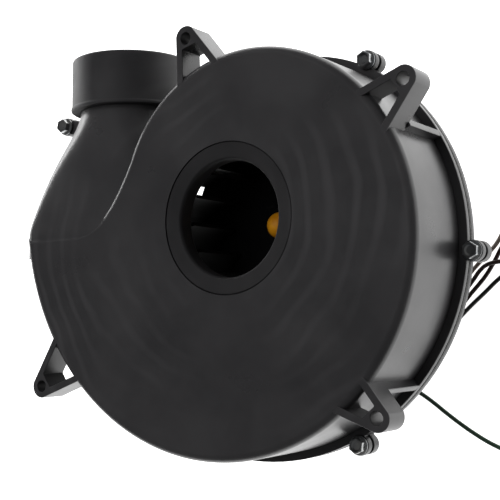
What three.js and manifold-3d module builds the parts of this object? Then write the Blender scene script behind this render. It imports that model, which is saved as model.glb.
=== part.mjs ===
// Furnace draft inducer: a moulded volute housing in two halves, an outlet collar, an impeller on the
// shaft of a small motor, and the motor's five loose leads. It stands on the motor's rear bell.
// Millimetres. +Z runs along the shaft from the resting face to the inlet, +Y points to the outlet.
import * as THREE from 'three';
import { mergeVertices } from 'three/addons/utils/BufferGeometryUtils.js';
import Module from 'manifold-3d';

const wasm = await Module();
wasm.setup();

// ---- driving dimensions ----
const clearance = 0.3; // between pieces that touch
const casingDepth = 60; // inlet face to the back of the rear housing
const motorHeight = 90; // back of the rear housing to the resting face
const inletHeight = casingDepth + motorHeight;
const frontDepth = casingDepth - 17.2; // inlet face to the joint flange
const wall = 2.6;
const edgeRound = 4; // round of the housing's outer edges

const tongueAngle = 152; // degrees from +X, where the scroll starts
const scrollStart = 64.3; // outer radius at the tongue
const scrollGrowth = 0.158; // mm for each degree turned
const scrollSpeedUp = 0.00007; // extra growth, mm for each square degree
const scrollSweep = 330.6; // degrees of scroll before the straight duct

const flangeWidth = 4.1; // joint flange beyond the wall
const flangeThickness = 3;
const gasketThickness = 1.2;

const neckX = -(scrollStart + 15.5); // axis of the outlet, parallel to Y
const neckRadius = 25.7;
const neckStartY = scrollStart - 6.3;
const neckEndY = neckStartY + 26.5;
const collarRadius = neckRadius + 4.45;
const collarStartY = neckStartY + 1.6;
const collarLength = 26;
const mouthY = -2; // where the duct starts to slope
const mouthX = neckX - 10.2; // where the scroll's raised edge leaves that line
const ductRight = neckX + 32.4; // right side of the duct at the mouth

const inletRadius = 26;
const ringRadius = 33.7;
const ringFlange = 2.4;
const ringDepth = 10.5;
const ringLip = 3.7; // the ring's lip beyond the inlet

const lugDepth = 14;
const lugTipRadius = 5.6;
const lugHoleRadius = 2.6;
const lugLeg = 3;
const ribThickness = 3.2;

const bossRadius = 4.8;
const bossReach = 6.5; // screw axes beyond the scroll's wall
const bossTop = frontDepth - 0.6; // depth of the screw seats
const ductBossTop = 22; // and of the one beside the outlet
const ductBossReach = 12.1; // that screw's axis beyond the neck
const socketDepth = frontDepth + 9.7; // depth of the rear housing's screw sockets
const screwRadius = 2.1;
const screwHeadRadius = 4.4;
const screwFlats = 6.35;
const screwHeadHeight = 3.6;

const shaftRadius = 3.97; // half of a 5/16 inch shaft
const shaftEndDepth = casingDepth - 16;
const impellerRadius = 54;
const impellerFront = 14;
const impellerBack = casingDepth - 7.5;
const impellerPlate = 2.5;
const eyeRadius = 29;
const frontRingWidth = 8;
const bladeCount = 14;
const bladeThickness = 1.6;
const bladeSweep = 26; // degrees from the eye to the rim
const hubRadius = 11;
const capRadius = 6.35;

const motorRadius = 41;
const motorFrontDepth = casingDepth + 14.6;
const coreFrontDepth = casingDepth + 37.3;
const coreLength = 30;
const rotorRadius = 24;
const airGap = 0.4;
const cupRadius = 32; // rear bell's cup
const mountCircle = 33; // radius of the motor's mounting screws
const boltCircle = 37; // radius of the through bolts
const standoffRadius = 4.5;
const coolingRadius = 26;
const coolingVanes = 6;
const windingLength = 11; // end turns, front and rear
const thrustRadius = 7;
const thrustThickness = 1.5;

const leadDiameter = 2.3;
const coilInner = 11; // centre of the coil's inner turns
const grommetAngle = -75;
const grommetHeight = 9;
const groundAngle = -90;

// ---- materials ----
const finish = (color, roughness, metalness) =>
  () => new THREE.MeshStandardMaterial({ color, roughness, metalness });
const blackPlastic = finish(0x2b2a2c, 0.55, 0);
const gasketFoam = finish(0x9b9a96, 0.9, 0);
const yellowCap = finish(0xe9a514, 0.4, 0);
const zinc = finish(0xb9bcbe, 0.35, 0.9);
const galvanised = finish(0x9ea2a5, 0.45, 0.8);
const laminations = finish(0x55575a, 0.6, 0.7);
const copperWire = finish(0x9c5a34, 0.45, 0.4);
const steel = finish(0xa9acaf, 0.3, 0.9);
const bronze = finish(0xa98548, 0.5, 0.7);
const blackRubber = finish(0x1c1c1c, 0.8, 0);
const brownWire = finish(0x5a3626, 0.5, 0);
const whiteWire = finish(0xd9d2c8, 0.5, 0);
const blackWire = finish(0x2e2f2c, 0.5, 0);
const greenWire = finish(0x3f7a4c, 0.5, 0);
const nylon = finish(0xd8d3c4, 0.5, 0);
const tinned = finish(0xc4c2b8, 0.35, 0.85);

// ---- working with closed meshes ----
const radians = THREE.MathUtils.degToRad;
const lerp = THREE.MathUtils.lerp;
const level = (depth) => inletHeight - depth;

function toSolid(geometry) {
  const bare = geometry.clone();
  bare.deleteAttribute('normal');
  bare.deleteAttribute('uv');
  const merged = mergeVertices(bare, 1e-4);
  const vertProperties = new Float32Array(merged.attributes.position.array);
  const corners = merged.index.array;
  const kept = [];
  for (let i = 0; i < corners.length; i += 3) {
    const [a, b, c] = [corners[i], corners[i + 1], corners[i + 2]];
    if (a !== b && b !== c && c !== a) kept.push(a, b, c);
  }
  if (enclosedVolume(vertProperties, kept) < 0) kept.reverse();
  return new wasm.Manifold(new wasm.Mesh({ numProp: 3, vertProperties, triVerts: new Uint32Array(kept) }));
}

function enclosedVolume(positions, corners) {
  const point = (i) => new THREE.Vector3().fromArray(positions, 3 * i);
  let sum = 0;
  for (let i = 0; i < corners.length; i += 3) {
    sum += point(corners[i]).dot(point(corners[i + 1]).cross(point(corners[i + 2])));
  }
  return sum;
}

function toGeometry(solid) {
  const { numProp, vertProperties, triVerts } = solid.getMesh();
  const positions = new Float32Array((vertProperties.length / numProp) * 3);
  for (let i = 0; i < positions.length / 3; i += 1) {
    positions.set(vertProperties.subarray(i * numProp, i * numProp + 3), i * 3);
  }
  const geometry = new THREE.BufferGeometry();
  geometry.setAttribute('position', new THREE.BufferAttribute(positions, 3));
  geometry.setIndex([...triVerts]);
  geometry.computeVertexNormals();
  return geometry;
}

const join = (...solids) => solids.flat().reduce((a, b) => a.add(b));
const cut = (solid, ...tools) => tools.flat().reduce((a, b) => a.subtract(b), solid);

// ---- basic solids; heights are z values unless they are called depths ----
function prism(shape, low, high, curveSegments = 8) {
  const geometry = new THREE.ExtrudeGeometry(shape, { depth: high - low, bevelEnabled: false, curveSegments });
  return toSolid(geometry.translate(0, 0, low));
}

function turned(profile, sides = 32) {
  const points = profile.map(([radius, height]) => new THREE.Vector2(radius, height));
  return toSolid(new THREE.LatheGeometry([...points, points[0]], sides).rotateX(Math.PI / 2));
}

function disc(radius, low, high, x = 0, y = 0, sides = 20) {
  const geometry = new THREE.CylinderGeometry(radius, radius, high - low, sides).rotateX(Math.PI / 2);
  return toSolid(geometry.translate(x, y, (low + high) / 2));
}

function washer(outer, inner, low, high, sides = 32) {
  return turned([[inner, low], [outer, low], [outer, high], [inner, high]], sides);
}

// a bar between two points in plan
function bar(from, to, thickness, low, high) {
  const along = new THREE.Vector2().subVectors(to, from);
  const geometry = new THREE.BoxGeometry(along.length(), thickness, high - low);
  geometry.rotateZ(along.angle());
  return toSolid(geometry.translate((from.x + to.x) / 2, (from.y + to.y) / 2, (low + high) / 2));
}

// a cylinder along Y, used for the outlet
function outletCylinder(radius, startY, endY, sides = 32) {
  const geometry = new THREE.CylinderGeometry(radius, radius, endY - startY, sides);
  return toSolid(geometry.translate(neckX, (startY + endY) / 2, level(casingDepth / 2)));
}

const polar = (radius, degrees) =>
  new THREE.Vector2(radius * Math.cos(radians(degrees)), radius * Math.sin(radians(degrees)));

// ---- the volute's outline ----
const scrollRadius = (turn) => scrollStart + scrollGrowth * turn + scrollSpeedUp * turn ** 2;
const onScroll = (turn, offset = 0) => polar(scrollRadius(turn) + offset, tongueAngle - turn);

function scrollShape(offset) {
  const steps = 38;
  const shape = new THREE.Shape();
  const start = onScroll(0, offset);
  const shift = offset * Math.SQRT1_2;
  shape.moveTo(start.x, start.y);
  for (let i = 1; i <= steps; i += 1) {
    const point = onScroll((scrollSweep * i) / steps, offset);
    shape.lineTo(point.x, point.y);
  }
  shape.lineTo(mouthX - shift, mouthY + shift);
  shape.bezierCurveTo(mouthX + 15 - shift, mouthY + shift, neckX + 13.8 - shift, 12 + shift, start.x, start.y);
  return shape;
}

function scrollSolid(offset, top, bottom, round) {
  const geometry = new THREE.ExtrudeGeometry(scrollShape(offset), {
    depth: bottom - top - 2 * round,
    bevelThickness: round,
    bevelSize: round,
    bevelOffset: -round,
    bevelSegments: 2,
    curveSegments: 6,
  });
  return toSolid(geometry.translate(0, 0, level(bottom) + round));
}

// pushes a circle's coordinate out towards the circle's square
const squared = (value, power) => (Math.abs(value) < 1e-6 ? 0 : Math.sign(value) * Math.abs(value) ** power);

// straight on at first, then a steady slope
function shoulder(share) {
  const bend = 0.12;
  const raw = share < bend ? share ** 2 / (2 * bend) : share - bend / 2;
  return raw / (1 - bend / 2);
}

// The duct runs along +Y from the scroll's mouth, a rounded rectangle that turns into the round neck.
function ductSolid(inset) {
  const startY = mouthY - 12;
  const geometry = new THREE.CylinderGeometry(1, 1, 1, 32, 6);
  const place = geometry.attributes.position;
  for (let i = 0; i < place.count; i += 1) {
    const y = lerp(startY, neckStartY + 0.5, place.getY(i) + 0.5);
    const share = THREE.MathUtils.clamp((y - mouthY) / (neckStartY - mouthY), 0, 1);
    const left = lerp(onScroll(scrollSweep).x, neckX - neckRadius, shoulder(share)) + inset;
    const right = lerp(ductRight, neckX + neckRadius, share) - inset;
    const halfDepth = lerp(casingDepth / 2 - 0.2, neckRadius, share) - inset;
    const power = 2 / (2 + 14 * (1 - share) ** 2);
    const across = squared(place.getX(i), power);
    const deep = squared(place.getZ(i), power);
    const x = (left + right) / 2 + (across * (right - left)) / 2;
    place.setXYZ(i, x, y, level(casingDepth / 2) + deep * halfDepth);
  }
  return toSolid(geometry);
}

const casingOuter = join(
  scrollSolid(0, 0, casingDepth, edgeRound),
  ductSolid(0),
  outletCylinder(neckRadius, neckStartY, neckEndY),
);
const casingInner = join(
  scrollSolid(-wall, wall, casingDepth - wall, edgeRound - wall),
  ductSolid(wall),
  outletCylinder(neckRadius - wall, neckStartY, neckEndY + 2),
);
const casingShell = cut(casingOuter, casingInner);

const slab = (top, bottom) =>
  toSolid(new THREE.BoxGeometry(500, 500, bottom - top).translate(0, 0, level((top + bottom) / 2)));

// ---- joint flange, shared by both halves and the gasket ----
const rearFlangeTop = frontDepth + flangeThickness + gasketThickness + 2 * clearance;

function flangeSolid(top, bottom) {
  const firstTurn = 23;
  const steps = 60;
  const shape = new THREE.Shape();
  const edgeY = collarStartY - clearance - 0.4;
  shape.moveTo(onScroll(firstTurn, flangeWidth).x, edgeY);
  for (let i = 1; i <= steps; i += 1) {
    const point = onScroll(lerp(firstTurn, scrollSweep, i / steps), flangeWidth);
    shape.lineTo(point.x, point.y);
  }
  shape.lineTo(neckX - neckRadius - flangeWidth, edgeY);
  const collarSpace = outletCylinder(collarRadius + clearance, collarStartY - clearance, neckEndY + 10);
  return cut(prism(shape, level(bottom), level(top)), collarSpace);
}

// ---- screw bosses, by their turn along the scroll ----
const bossTurns = [95.5, 161.2, 218.9, 272, 322];
const ductBoss = new THREE.Vector2(neckX - neckRadius - ductBossReach, neckStartY - 2);
const bossPlaces = [
  ...bossTurns.map((turn) => ({ centre: onScroll(turn, bossReach), foot: onScroll(turn, -1), top: bossTop })),
  { centre: ductBoss, foot: new THREE.Vector2(ductBoss.x + 17, ductBoss.y - 3), top: ductBossTop },
];

function bosses(bottom, sharedTop) {
  return bossPlaces.flatMap(({ centre, foot, top }) => {
    const high = level(sharedTop ?? top);
    return [
      disc(bossRadius, level(bottom), high, centre.x, centre.y, 14),
      bar(centre, foot, 1.6 * bossRadius, level(bottom), high - 0.6),
    ];
  });
}

const screwHoles = (bottom, sharedTop) => bossPlaces.map(({ centre, top }) =>
  disc(screwRadius + clearance, level(bottom), level((sharedTop ?? top) - 1), centre.x, centre.y, 10));

// ---- mounting lugs: a boss at the tip of two legs that stand on the scroll's wall ----
const lugs = [
  { turn: 46.7, reach: 14.9, feet: [39.2, 57.2] },
  { turn: 121.4, reach: 15.2, feet: [116.2, 130.3], ribFoot: 128.6 },
  { turn: 200.9, reach: 12.2, feet: [208.6, 198.1], ribFoot: 198.4 },
  { turn: 297.3, reach: 18.1, feet: [292.3, 304.3] },
];

function lugLegs(lug) {
  const centre = onScroll(lug.turn, lug.reach);
  return lug.feet.map((footTurn) => {
    const foot = onScroll(footTurn, -edgeRound);
    const along = new THREE.Vector2().subVectors(centre, foot).normalize();
    const aside = new THREE.Vector2(-along.y, along.x).multiplyScalar(lugTipRadius - lugLeg / 2);
    const inward = Math.sign(footTurn - lug.turn) * Math.sign(aside.dot(onScroll(lug.turn + 90)));
    const end = centre.clone().addScaledVector(aside, inward);
    return bar(foot, end, lugLeg, level(lugDepth), level(0));
  });
}

function lugSolids() {
  return lugs.flatMap((lug) => {
    const centre = onScroll(lug.turn, lug.reach);
    return [disc(lugTipRadius, level(lugDepth), level(0), centre.x, centre.y, 16), ...lugLegs(lug)];
  });
}

function lugRibs() {
  return lugs.filter((lug) => lug.ribFoot).map((lug) =>
    bar(onScroll(lug.ribFoot, -1), onScroll(lug.ribFoot, flangeWidth - 0.1), ribThickness,
      level(frontDepth + 1), level(lugDepth - 1)));
}

const lugHoles = () => lugs.map((lug) => {
  const centre = onScroll(lug.turn, lug.reach);
  return disc(lugHoleRadius, level(lugDepth + 1), level(-1), centre.x, centre.y, 12);
});

// ---- housing pieces ----
const seatDepth = ringFlange + clearance;
const throatRadius = inletRadius + ringLip + clearance; // bore that the inlet ring's lip passes through

function frontHousing() {
  const bottom = frontDepth + flangeThickness;
  const seat = disc(ringRadius + 4, level(6), level(1), 0, 0, 48);
  const body = join(
    casingShell.intersect(slab(-1, bottom)),
    cut(flangeSolid(frontDepth, bottom), casingInner),
    cut(join(bosses(bottom), lugSolids(), lugRibs()), casingInner),
    seat,
  );
  return cut(
    body,
    disc(ringRadius + clearance, level(seatDepth), level(-1), 0, 0, 48),
    disc(throatRadius, level(8), level(-1), 0, 0, 48),
    screwHoles(bottom + 1),
    lugHoles(),
  );
}

function rearHousing() {
  const pads = mountPlaces().map(({ x, y }) =>
    disc(standoffRadius + 1.5, level(casingDepth + 2), level(casingDepth - 1), x, y, 14));
  const body = join(
    casingShell.intersect(slab(rearFlangeTop, casingDepth + 1)),
    cut(flangeSolid(rearFlangeTop, rearFlangeTop + flangeThickness), casingInner),
    cut(join(bosses(socketDepth, rearFlangeTop)), casingInner),
    pads,
  );
  const mountHoles = mountPlaces().map(({ x, y }) =>
    disc(screwRadius + clearance, level(casingDepth + 3), level(casingDepth - 4), x, y, 10));
  return cut(
    body,
    disc(shaftRadius + 3.2, level(casingDepth + 1), level(casingDepth - 4), 0, 0, 24),
    screwHoles(socketDepth + 1, rearFlangeTop),
    mountHoles,
  );
}

function gasket() {
  const top = frontDepth + flangeThickness + clearance;
  const bottom = top + gasketThickness;
  const sheet = join(flangeSolid(top, bottom), casingOuter.intersect(slab(top, bottom)));
  return cut(sheet, casingInner, screwHoles(bottom + 1, top));
}

function outletCollar() {
  const inner = neckRadius + clearance;
  const endY = collarStartY + collarLength;
  const profile = [
    [inner, collarStartY], [collarRadius, collarStartY], [collarRadius + 0.5, collarStartY + 1],
    [collarRadius, collarStartY + 2.2], [collarRadius, endY - 1], [collarRadius - 1, endY], [inner, endY],
  ].map(([radius, height]) => new THREE.Vector2(radius, height));
  const geometry = new THREE.LatheGeometry([...profile, profile[0]], 40);
  return toSolid(geometry.translate(neckX, 0, level(casingDepth / 2)));
}

function inletRing() {
  const lip = inletRadius + ringLip;
  return turned([
    [ringRadius, level(0.2)], [ringRadius, level(ringFlange)], [lip, level(ringFlange)],
    [lip, level(ringDepth)], [inletRadius + 1.5, level(ringDepth)], [inletRadius, level(ringDepth - 2)],
    [inletRadius, level(3)], [inletRadius + 0.8, level(1)],
  ], 40);
}

// hex washer head screw, its seat at height 0 and its shank pointing down
function hexScrew(length) {
  const head = new THREE.CylinderGeometry(1, 1, screwHeadHeight, 6).rotateX(Math.PI / 2);
  const acrossCorners = screwFlats / 2 / Math.cos(Math.PI / 6);
  head.scale(acrossCorners, acrossCorners, 1).translate(0, 0, screwHeadHeight / 2);
  const dimple = turned([[0, screwHeadHeight - 0.8], [1.9, screwHeadHeight - 0.2], [1.9, 5], [0, 5]], 10);
  const washerFace = disc(screwHeadRadius, 0, 1, 0, 0, 16);
  return cut(join(toSolid(head), washerFace, disc(screwRadius, -length, 0.5, 0, 0, 8)), dimple);
}

// ---- motor, built around the shaft ----
const coreRearDepth = coreFrontDepth + coreLength;
const rearBellDepth = coreRearDepth + clearance;
const mountPlaces = () => [30, 150, 270].map((degrees) => polar(mountCircle, degrees));
const boltPlaces = () => [45, 135, 225, 315].map((degrees) => polar(boltCircle, degrees));
const bearingOuter = shaftRadius + 4.5;
const bearingLength = 9;
const bellWall = 2.2;

function frontBell() {
  const face = level(motorFrontDepth);
  const rim = level(coreFrontDepth - clearance);
  const pocket = bearingOuter + clearance;
  const cup = turned([
    [shaftRadius + 2, face], [motorRadius - 3, face], [motorRadius, face - 3], [motorRadius, rim],
    [boltCircle - 3.4, rim], [boltCircle - 3.4, rim + 6], [motorRadius - bellWall, rim + 7],
    [motorRadius - bellWall, face - 4], [motorRadius - bellWall - 2, face - bellWall],
    [pocket + 3, face - bellWall], [pocket + 3, face - bearingLength - 2], [pocket, face - bearingLength - 2],
    [pocket, face - bellWall], [shaftRadius + 2, face - bellWall],
  ], 24);
  const vents = [0, 90, 180, 270].map((degrees) =>
    bar(polar(17, degrees), polar(27, degrees), 4.5, face - 5, face + 1));
  const holes = mountPlaces().map(({ x, y }) => disc(screwRadius + clearance, face - 6, face + 1, x, y, 10));
  const threads = boltPlaces().map(({ x, y }) => disc(screwRadius, rim - 1, rim + 5, x, y, 10));
  return cut(cup, vents, holes, threads);
}

function rearBell() {
  const rim = level(rearBellDepth);
  const pocket = bearingOuter + clearance;
  const cup = turned([
    [0, 0], [12, 0], [14, 0.8], [cupRadius - 6, 0.8], [cupRadius - 5, 0], [cupRadius - 2, 0],
    [cupRadius, 2], [cupRadius, rim - 4], [motorRadius, rim - 4], [motorRadius, rim],
    [cupRadius - bellWall, rim], [cupRadius - bellWall, bellWall + 0.8], [pocket + 3, bellWall + 0.8],
    [pocket + 3, bearingLength + 3], [pocket, bearingLength + 3], [pocket, bellWall], [0, bellWall],
  ], 24);
  const vents = [20, 90, 160, 220].map((degrees) =>
    bar(polar(cupRadius - 6, degrees), polar(cupRadius + 3, degrees), 5, 6, rim - 7));
  const holes = boltPlaces().map(({ x, y }) => disc(screwRadius, rim - 5, rim + 1, x, y, 10));
  const groundHole = polar(boltCircle, groundAngle);
  const outlet = new THREE.CylinderGeometry(4.7, 4.7, 14, 20).rotateX(Math.PI / 2).rotateY(Math.PI / 2);
  outlet.rotateZ(radians(grommetAngle));
  const at = polar(cupRadius - 3, grommetAngle);
  const grommetHole = toSolid(outlet.translate(at.x, at.y, grommetHeight));
  const groundThread = disc(screwRadius + clearance, rim - 5, rim + 1, groundHole.x, groundHole.y, 10);
  return cut(cup, vents, holes, grommetHole, groundThread);
}

function statorCore() {
  const bore = rotorRadius + airGap;
  const stack = washer(motorRadius, bore, level(coreRearDepth), level(coreFrontDepth), 24);
  return cut(stack, boltPlaces().map(({ x, y }) =>
    disc(screwRadius, level(coreRearDepth + 1), level(coreFrontDepth - 1), x, y, 10)));
}

function windingTurns(low, high) {
  const inner = rotorRadius + 1;
  const outer = cupRadius - bellWall - 1;
  const round = 1.5;
  return turned([
    [inner, low + round], [inner + round, low], [outer - round, low], [outer, low + round],
    [outer, high - round], [outer - round, high], [inner + round, high], [inner, high - round],
  ], 20);
}

function throughBolt() {
  const length = coreLength + 4 + 4;
  return join(disc(screwRadius - clearance, 0, length, 0, 0, 8), disc(3.6, -2.6, 0.2, 0, 0, 6));
}

const grommet = () => turned([
  [3.4, 0], [5.2, 0], [5.2, 1.5], [4.4, 1.5], [4.4, 4.85], [5.6, 4.85], [5.6, 5.9], [4.2, 7.2], [3.4, 7.2],
], 16);

// ---- impeller and the other turning pieces ----
function impeller() {
  const back = level(impellerBack);
  const front = level(impellerFront);
  const plate = washer(impellerRadius, shaftRadius + clearance, back, back + impellerPlate, 40);
  const hub = washer(hubRadius, shaftRadius + clearance, back - 2.5, back + 4.2, 20);
  const frontRing = washer(impellerRadius, impellerRadius - frontRingWidth, front - 1.8, front, 40);
  const blades = [];
  for (let i = 0; i < bladeCount; i += 1) {
    blades.push(blade((360 * i) / bladeCount, back + 1, front - 1));
  }
  return join(plate, hub, frontRing, blades);
}

// one backward leaning blade, from the eye to the rim
function blade(turn, low, high) {
  const stations = [0, 0.5, 1].map((share) => ({
    radius: lerp(eyeRadius, impellerRadius - 0.5, share),
    angle: turn + bladeSweep * share ** 1.4,
  }));
  const side = (offset) => stations.map(({ radius, angle }) =>
    polar(radius, angle + THREE.MathUtils.radToDeg(offset / radius)));
  const shape = new THREE.Shape([...side(-bladeThickness / 2), ...side(bladeThickness / 2).reverse()]);
  return prism(shape, low, high);
}

function hubCap() {
  const base = level(casingDepth - 12);
  const bore = shaftRadius + clearance;
  const shoulder = base + 3.5;
  const profile = [[bore, base], [capRadius, base], [capRadius, shoulder]];
  for (let step = 1; step <= 3; step += 1) {
    const bend = (step * Math.PI) / 6;
    profile.push([capRadius * Math.cos(bend), shoulder + capRadius * Math.sin(bend)]);
  }
  profile[profile.length - 1][0] = 0;
  profile.push([0, level(shaftEndDepth) + 0.5], [bore, level(shaftEndDepth) + 0.5]);
  return turned(profile, 16);
}

function motorShaft() {
  const bottom = bellWall + 1;
  const top = level(shaftEndDepth);
  return turned([[0, bottom], [shaftRadius - 0.4, bottom], [shaftRadius, bottom + 0.4],
    [shaftRadius, top - 0.4], [shaftRadius - 0.4, top], [0, top]], 16);
}

const bored = (radius, low, high, sides) => washer(radius, shaftRadius + clearance, low, high, sides);

function coolingFan() {
  const low = level(casingDepth + 11);
  const high = level(casingDepth + 4.5);
  const vanes = [];
  for (let i = 0; i < coolingVanes; i += 1) {
    const turn = (360 * i) / coolingVanes;
    vanes.push(bar(polar(9, turn), polar(coolingRadius - 0.5, turn), 1.4, low + 1, high));
  }
  return join(bored(coolingRadius, low, low + 1.4, 24), bored(9.5, low, high, 16), vanes);
}

function shaftSeal() {
  const bore = shaftRadius + clearance;
  const low = level(casingDepth + 1.8);
  const seat = level(casingDepth + clearance);
  return turned([[bore, low], [10, low], [10, seat], [shaftRadius + 2.8, seat],
    [shaftRadius + 2.8, level(casingDepth - 2.2)], [bore, level(casingDepth - 2.2)]], 16);
}

// ---- leads: hand-laid routes, down from the motor and along the resting surface ----
const leads = {
  brown_a: {
    look: brownWire,
    route: [[7.8, -34.2, 10.35], [9, -38, 10.35], [10.5, -41.7, 10.04], [12.5, -45.3, 8.83], [15.6, -48.6, 6.8],
      [19.2, -51.2, 4.55], [23.8, -52.7, 2.4], [28.8, -52.6, 1.29], [33.4, -51, 1.25], [36.9, -48.3, 1.25],
      [42.8, -41.8, 1.25], [47.6, -36.1, 1.25], [52.3, -30.6, 1.25], [56.6, -26, 1.25], [60.6, -21.3, 1.25],
      [64.7, -15.2, 1.25], [68.6, -8.3, 1.25], [72.7, -0.8, 1.25], [75.2, 8, 1.25], [75.8, 18, 1.25]],
    coil: { centre: [92, 18], turnBy: -1, endAngle: 60 },
  },
  brown_b: {
    look: brownWire,
    route: [[10.4, -33.5, 10.35], [11.6, -37.3, 10.35], [13.1, -41, 10.04], [14.9, -43.9, 8.83],
      [17.4, -46.7, 6.8], [20.4, -48.8, 4.55], [24.2, -50, 2.4], [28.3, -49.9, 1.29], [32.1, -48.6, 1.25],
      [35, -46.4, 1.25], [40.6, -40.4, 1.25], [46, -33.2, 1.25], [50.2, -27.8, 1.25], [54, -23.2, 1.5],
      [57.9, -18.8, 2.7], [62.2, -15.9, 3.85], [66.9, -14.7, 3.9], [72, -14, 2.9], [77.6, -12.1, 1.6],
      [84, -8.6, 1.25], [91, -3.6, 1.25], [100.6, 1.8, 1.25], [112, 4.2, 1.25]],
    coil: { centre: [112, -12], turnBy: -1, endAngle: -20 },
  },
  white: {
    look: whiteWire,
    route: [[10.4, -33.5, 7.65], [11.6, -37.3, 7.33], [13, -41, 6.12], [14.8, -44, 4.45], [17.7, -46.2, 2.6],
      [21.1, -47.2, 1.4], [24.6, -47.5, 1.25], [27.9, -47.2, 1.25], [30.9, -46.1, 1.25], [33.2, -44.4, 1.25],
      [38.8, -37.6, 1.25], [44.6, -29.4, 1.25], [50.4, -21.8, 1.25], [56.3, -15.4, 1.25], [62, -9.9, 1.25],
      [67, -4.4, 1.25], [70.4, 2, 1.25], [71.9, 10, 1.25], [72.5, 24, 1.25], [72.5, 38, 1.25],
      [72.5, 52, 1.25]],
    coil: { centre: [88.7, 52], turnBy: -1, endAngle: 10 },
  },
  black: {
    look: blackWire,
    route: [[7.8, -34.2, 7.65], [8.6, -38.1, 7.33], [9.3, -42, 6.12], [10.7, -46.3, 4.45], [13.7, -50.6, 2.6],
      [17.9, -53.6, 1.4], [23.5, -55.3, 1.25], [29.2, -55.2, 1.25], [34.7, -53.3, 1.25], [38.8, -50.3, 1.25],
      [45, -44, 1.25], [52, -37.2, 1.25], [60, -30.1, 1.25], [68.2, -22.8, 1.25], [74.4, -18.9, 1.25],
      [80.5, -17.8, 1.25], [86.6, -18.3, 1.25]],
    coil: { centre: [87, -34.5], turnBy: -1, endAngle: -50 },
  },
  green: {
    look: greenWire,
    route: [[0, -53.6, 16.8], [0.2, -58.5, 16], [0.9, -63.6, 13.3], [2.4, -68.2, 9.4], [5.4, -72.6, 5.4],
      [10, -76.6, 2.6], [16, -80.2, 1.4], [22.6, -83.6, 1.25], [30, -88.2, 1.25], [37.6, -93.6, 1.25],
      [45.4, -98.8, 1.25], [53.4, -103.6, 1.25], [61.8, -107.9, 1.25], [71, -111.2, 1.25], [80.6, -112.7, 1.25],
      [90, -112.7, 1.25]],
    coil: { centre: [90, -96.5], turnBy: 1, endAngle: 35 },
  },
};

function leadTube(route) {
  const curve = new THREE.CatmullRomCurve3(route.map((point) => new THREE.Vector3(...point)));
  const radius = leadDiameter / 2;
  const section = new THREE.Shape();
  for (let i = 0; i < 8; i += 1) {
    const angle = (i * Math.PI) / 4;
    section[i ? 'lineTo' : 'moveTo'](radius * Math.cos(angle), radius * Math.sin(angle));
  }
  const steps = Math.ceil(curve.getLength() / (3 * leadDiameter));
  return toSolid(new THREE.ExtrudeGeometry(section, { steps, bevelEnabled: false, extrudePath: curve }));
}

// two layers of two turns
const coilHeight = 2 * leadDiameter + 0.3;
const coilOuter = coilInner + 1.5 * leadDiameter + 0.2;
const coilSolid = () => washer(coilOuter, coilInner - leadDiameter / 2 - 0.1, 0.05, coilHeight, 20);

// insulated push-on terminal, lying along X
function terminal() {
  const sleeve = new THREE.BoxGeometry(13, 6.4, 3.4).translate(0, 0, 1.7);
  const barrel = new THREE.CylinderGeometry(1.9, 1.9, 6, 8).rotateZ(Math.PI / 2).translate(-9, 0, 1.9);
  const slot = new THREE.BoxGeometry(8, 4.6, 1.2).translate(4, 0, 1.7);
  return cut(join(toSolid(sleeve), toSolid(barrel)), toSolid(slot));
}

// ring terminal under the ground screw, its barrel pointing along X
const tabThickness = 0.8;

function ringTerminal() {
  const eye = washer(4.4, screwRadius + clearance, -tabThickness, 0, 12);
  const barrel = new THREE.CylinderGeometry(1.9, 1.9, 7, 8).rotateZ(Math.PI / 2).translate(12.4, 0, -1.6);
  const neck = new THREE.BoxGeometry(6.6, 3, tabThickness).translate(6.6, 0, -tabThickness / 2);
  const opening = new THREE.BoxGeometry(3, 6, 1.8).translate(9, 0, 0.5);
  return join(eye, toSolid(neck), cut(toSolid(barrel), toSolid(opening)));
}

// ---- assembly ----
const fan = new THREE.Group();

function place(name, solid, look, position = [0, 0, 0], turnZ = 0, parent = fan) {
  const mesh = new THREE.Mesh(toGeometry(solid), look());
  mesh.name = name;
  mesh.position.set(...position);
  mesh.rotation.z = turnZ;
  parent.add(mesh);
  return mesh;
}

place('front_housing', frontHousing(), blackPlastic);
place('rear_housing', rearHousing(), blackPlastic);
place('housing_gasket', gasket(), gasketFoam);
place('outlet_collar', outletCollar(), blackPlastic);
place('inlet_ring', inletRing(), blackPlastic);
place('shaft_seal', shaftSeal(), blackRubber);

bossPlaces.forEach(({ centre, top }, i) => {
  const length = socketDepth - top - 1;
  place(`housing_screw_${i + 1}`, hexScrew(length), zinc, [centre.x, centre.y, level(top) + clearance], i);
});

mountPlaces().forEach(({ x, y }, i) => {
  const top = casingDepth + 2 + clearance;
  const length = motorFrontDepth - clearance - top;
  const spacer = washer(standoffRadius, screwRadius + clearance, -length, 0, 14);
  place(`motor_standoff_${i + 1}`, spacer, galvanised, [x, y, level(top)]);
  const seat = level(casingDepth - wall - clearance);
  const shank = motorFrontDepth + 5 - (casingDepth - wall);
  const screw = join(disc(4, 0, 2.2, 0, 0, 12), disc(screwRadius, -shank, 0.5, 0, 0, 8));
  place(`motor_mount_screw_${i + 1}`, screw, zinc, [x, y, seat]);
});

place('front_end_bell', frontBell(), galvanised);
place('rear_end_bell', rearBell(), galvanised);
place('stator_core', statorCore(), laminations);
const frontTurns = windingTurns(level(coreFrontDepth - clearance), level(coreFrontDepth - windingLength));
const rearTurns = windingTurns(level(coreRearDepth + windingLength - 3), level(coreRearDepth + clearance));
place('front_winding', frontTurns, copperWire);
place('rear_winding', rearTurns, copperWire);
const bearingFace = level(motorFrontDepth + bellWall + clearance);
place('front_bearing', bored(bearingOuter, bearingFace - bearingLength, bearingFace, 16), bronze);
place('rear_bearing', bored(bearingOuter, bellWall + 1, bellWall + 1 + bearingLength, 16), bronze);

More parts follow.
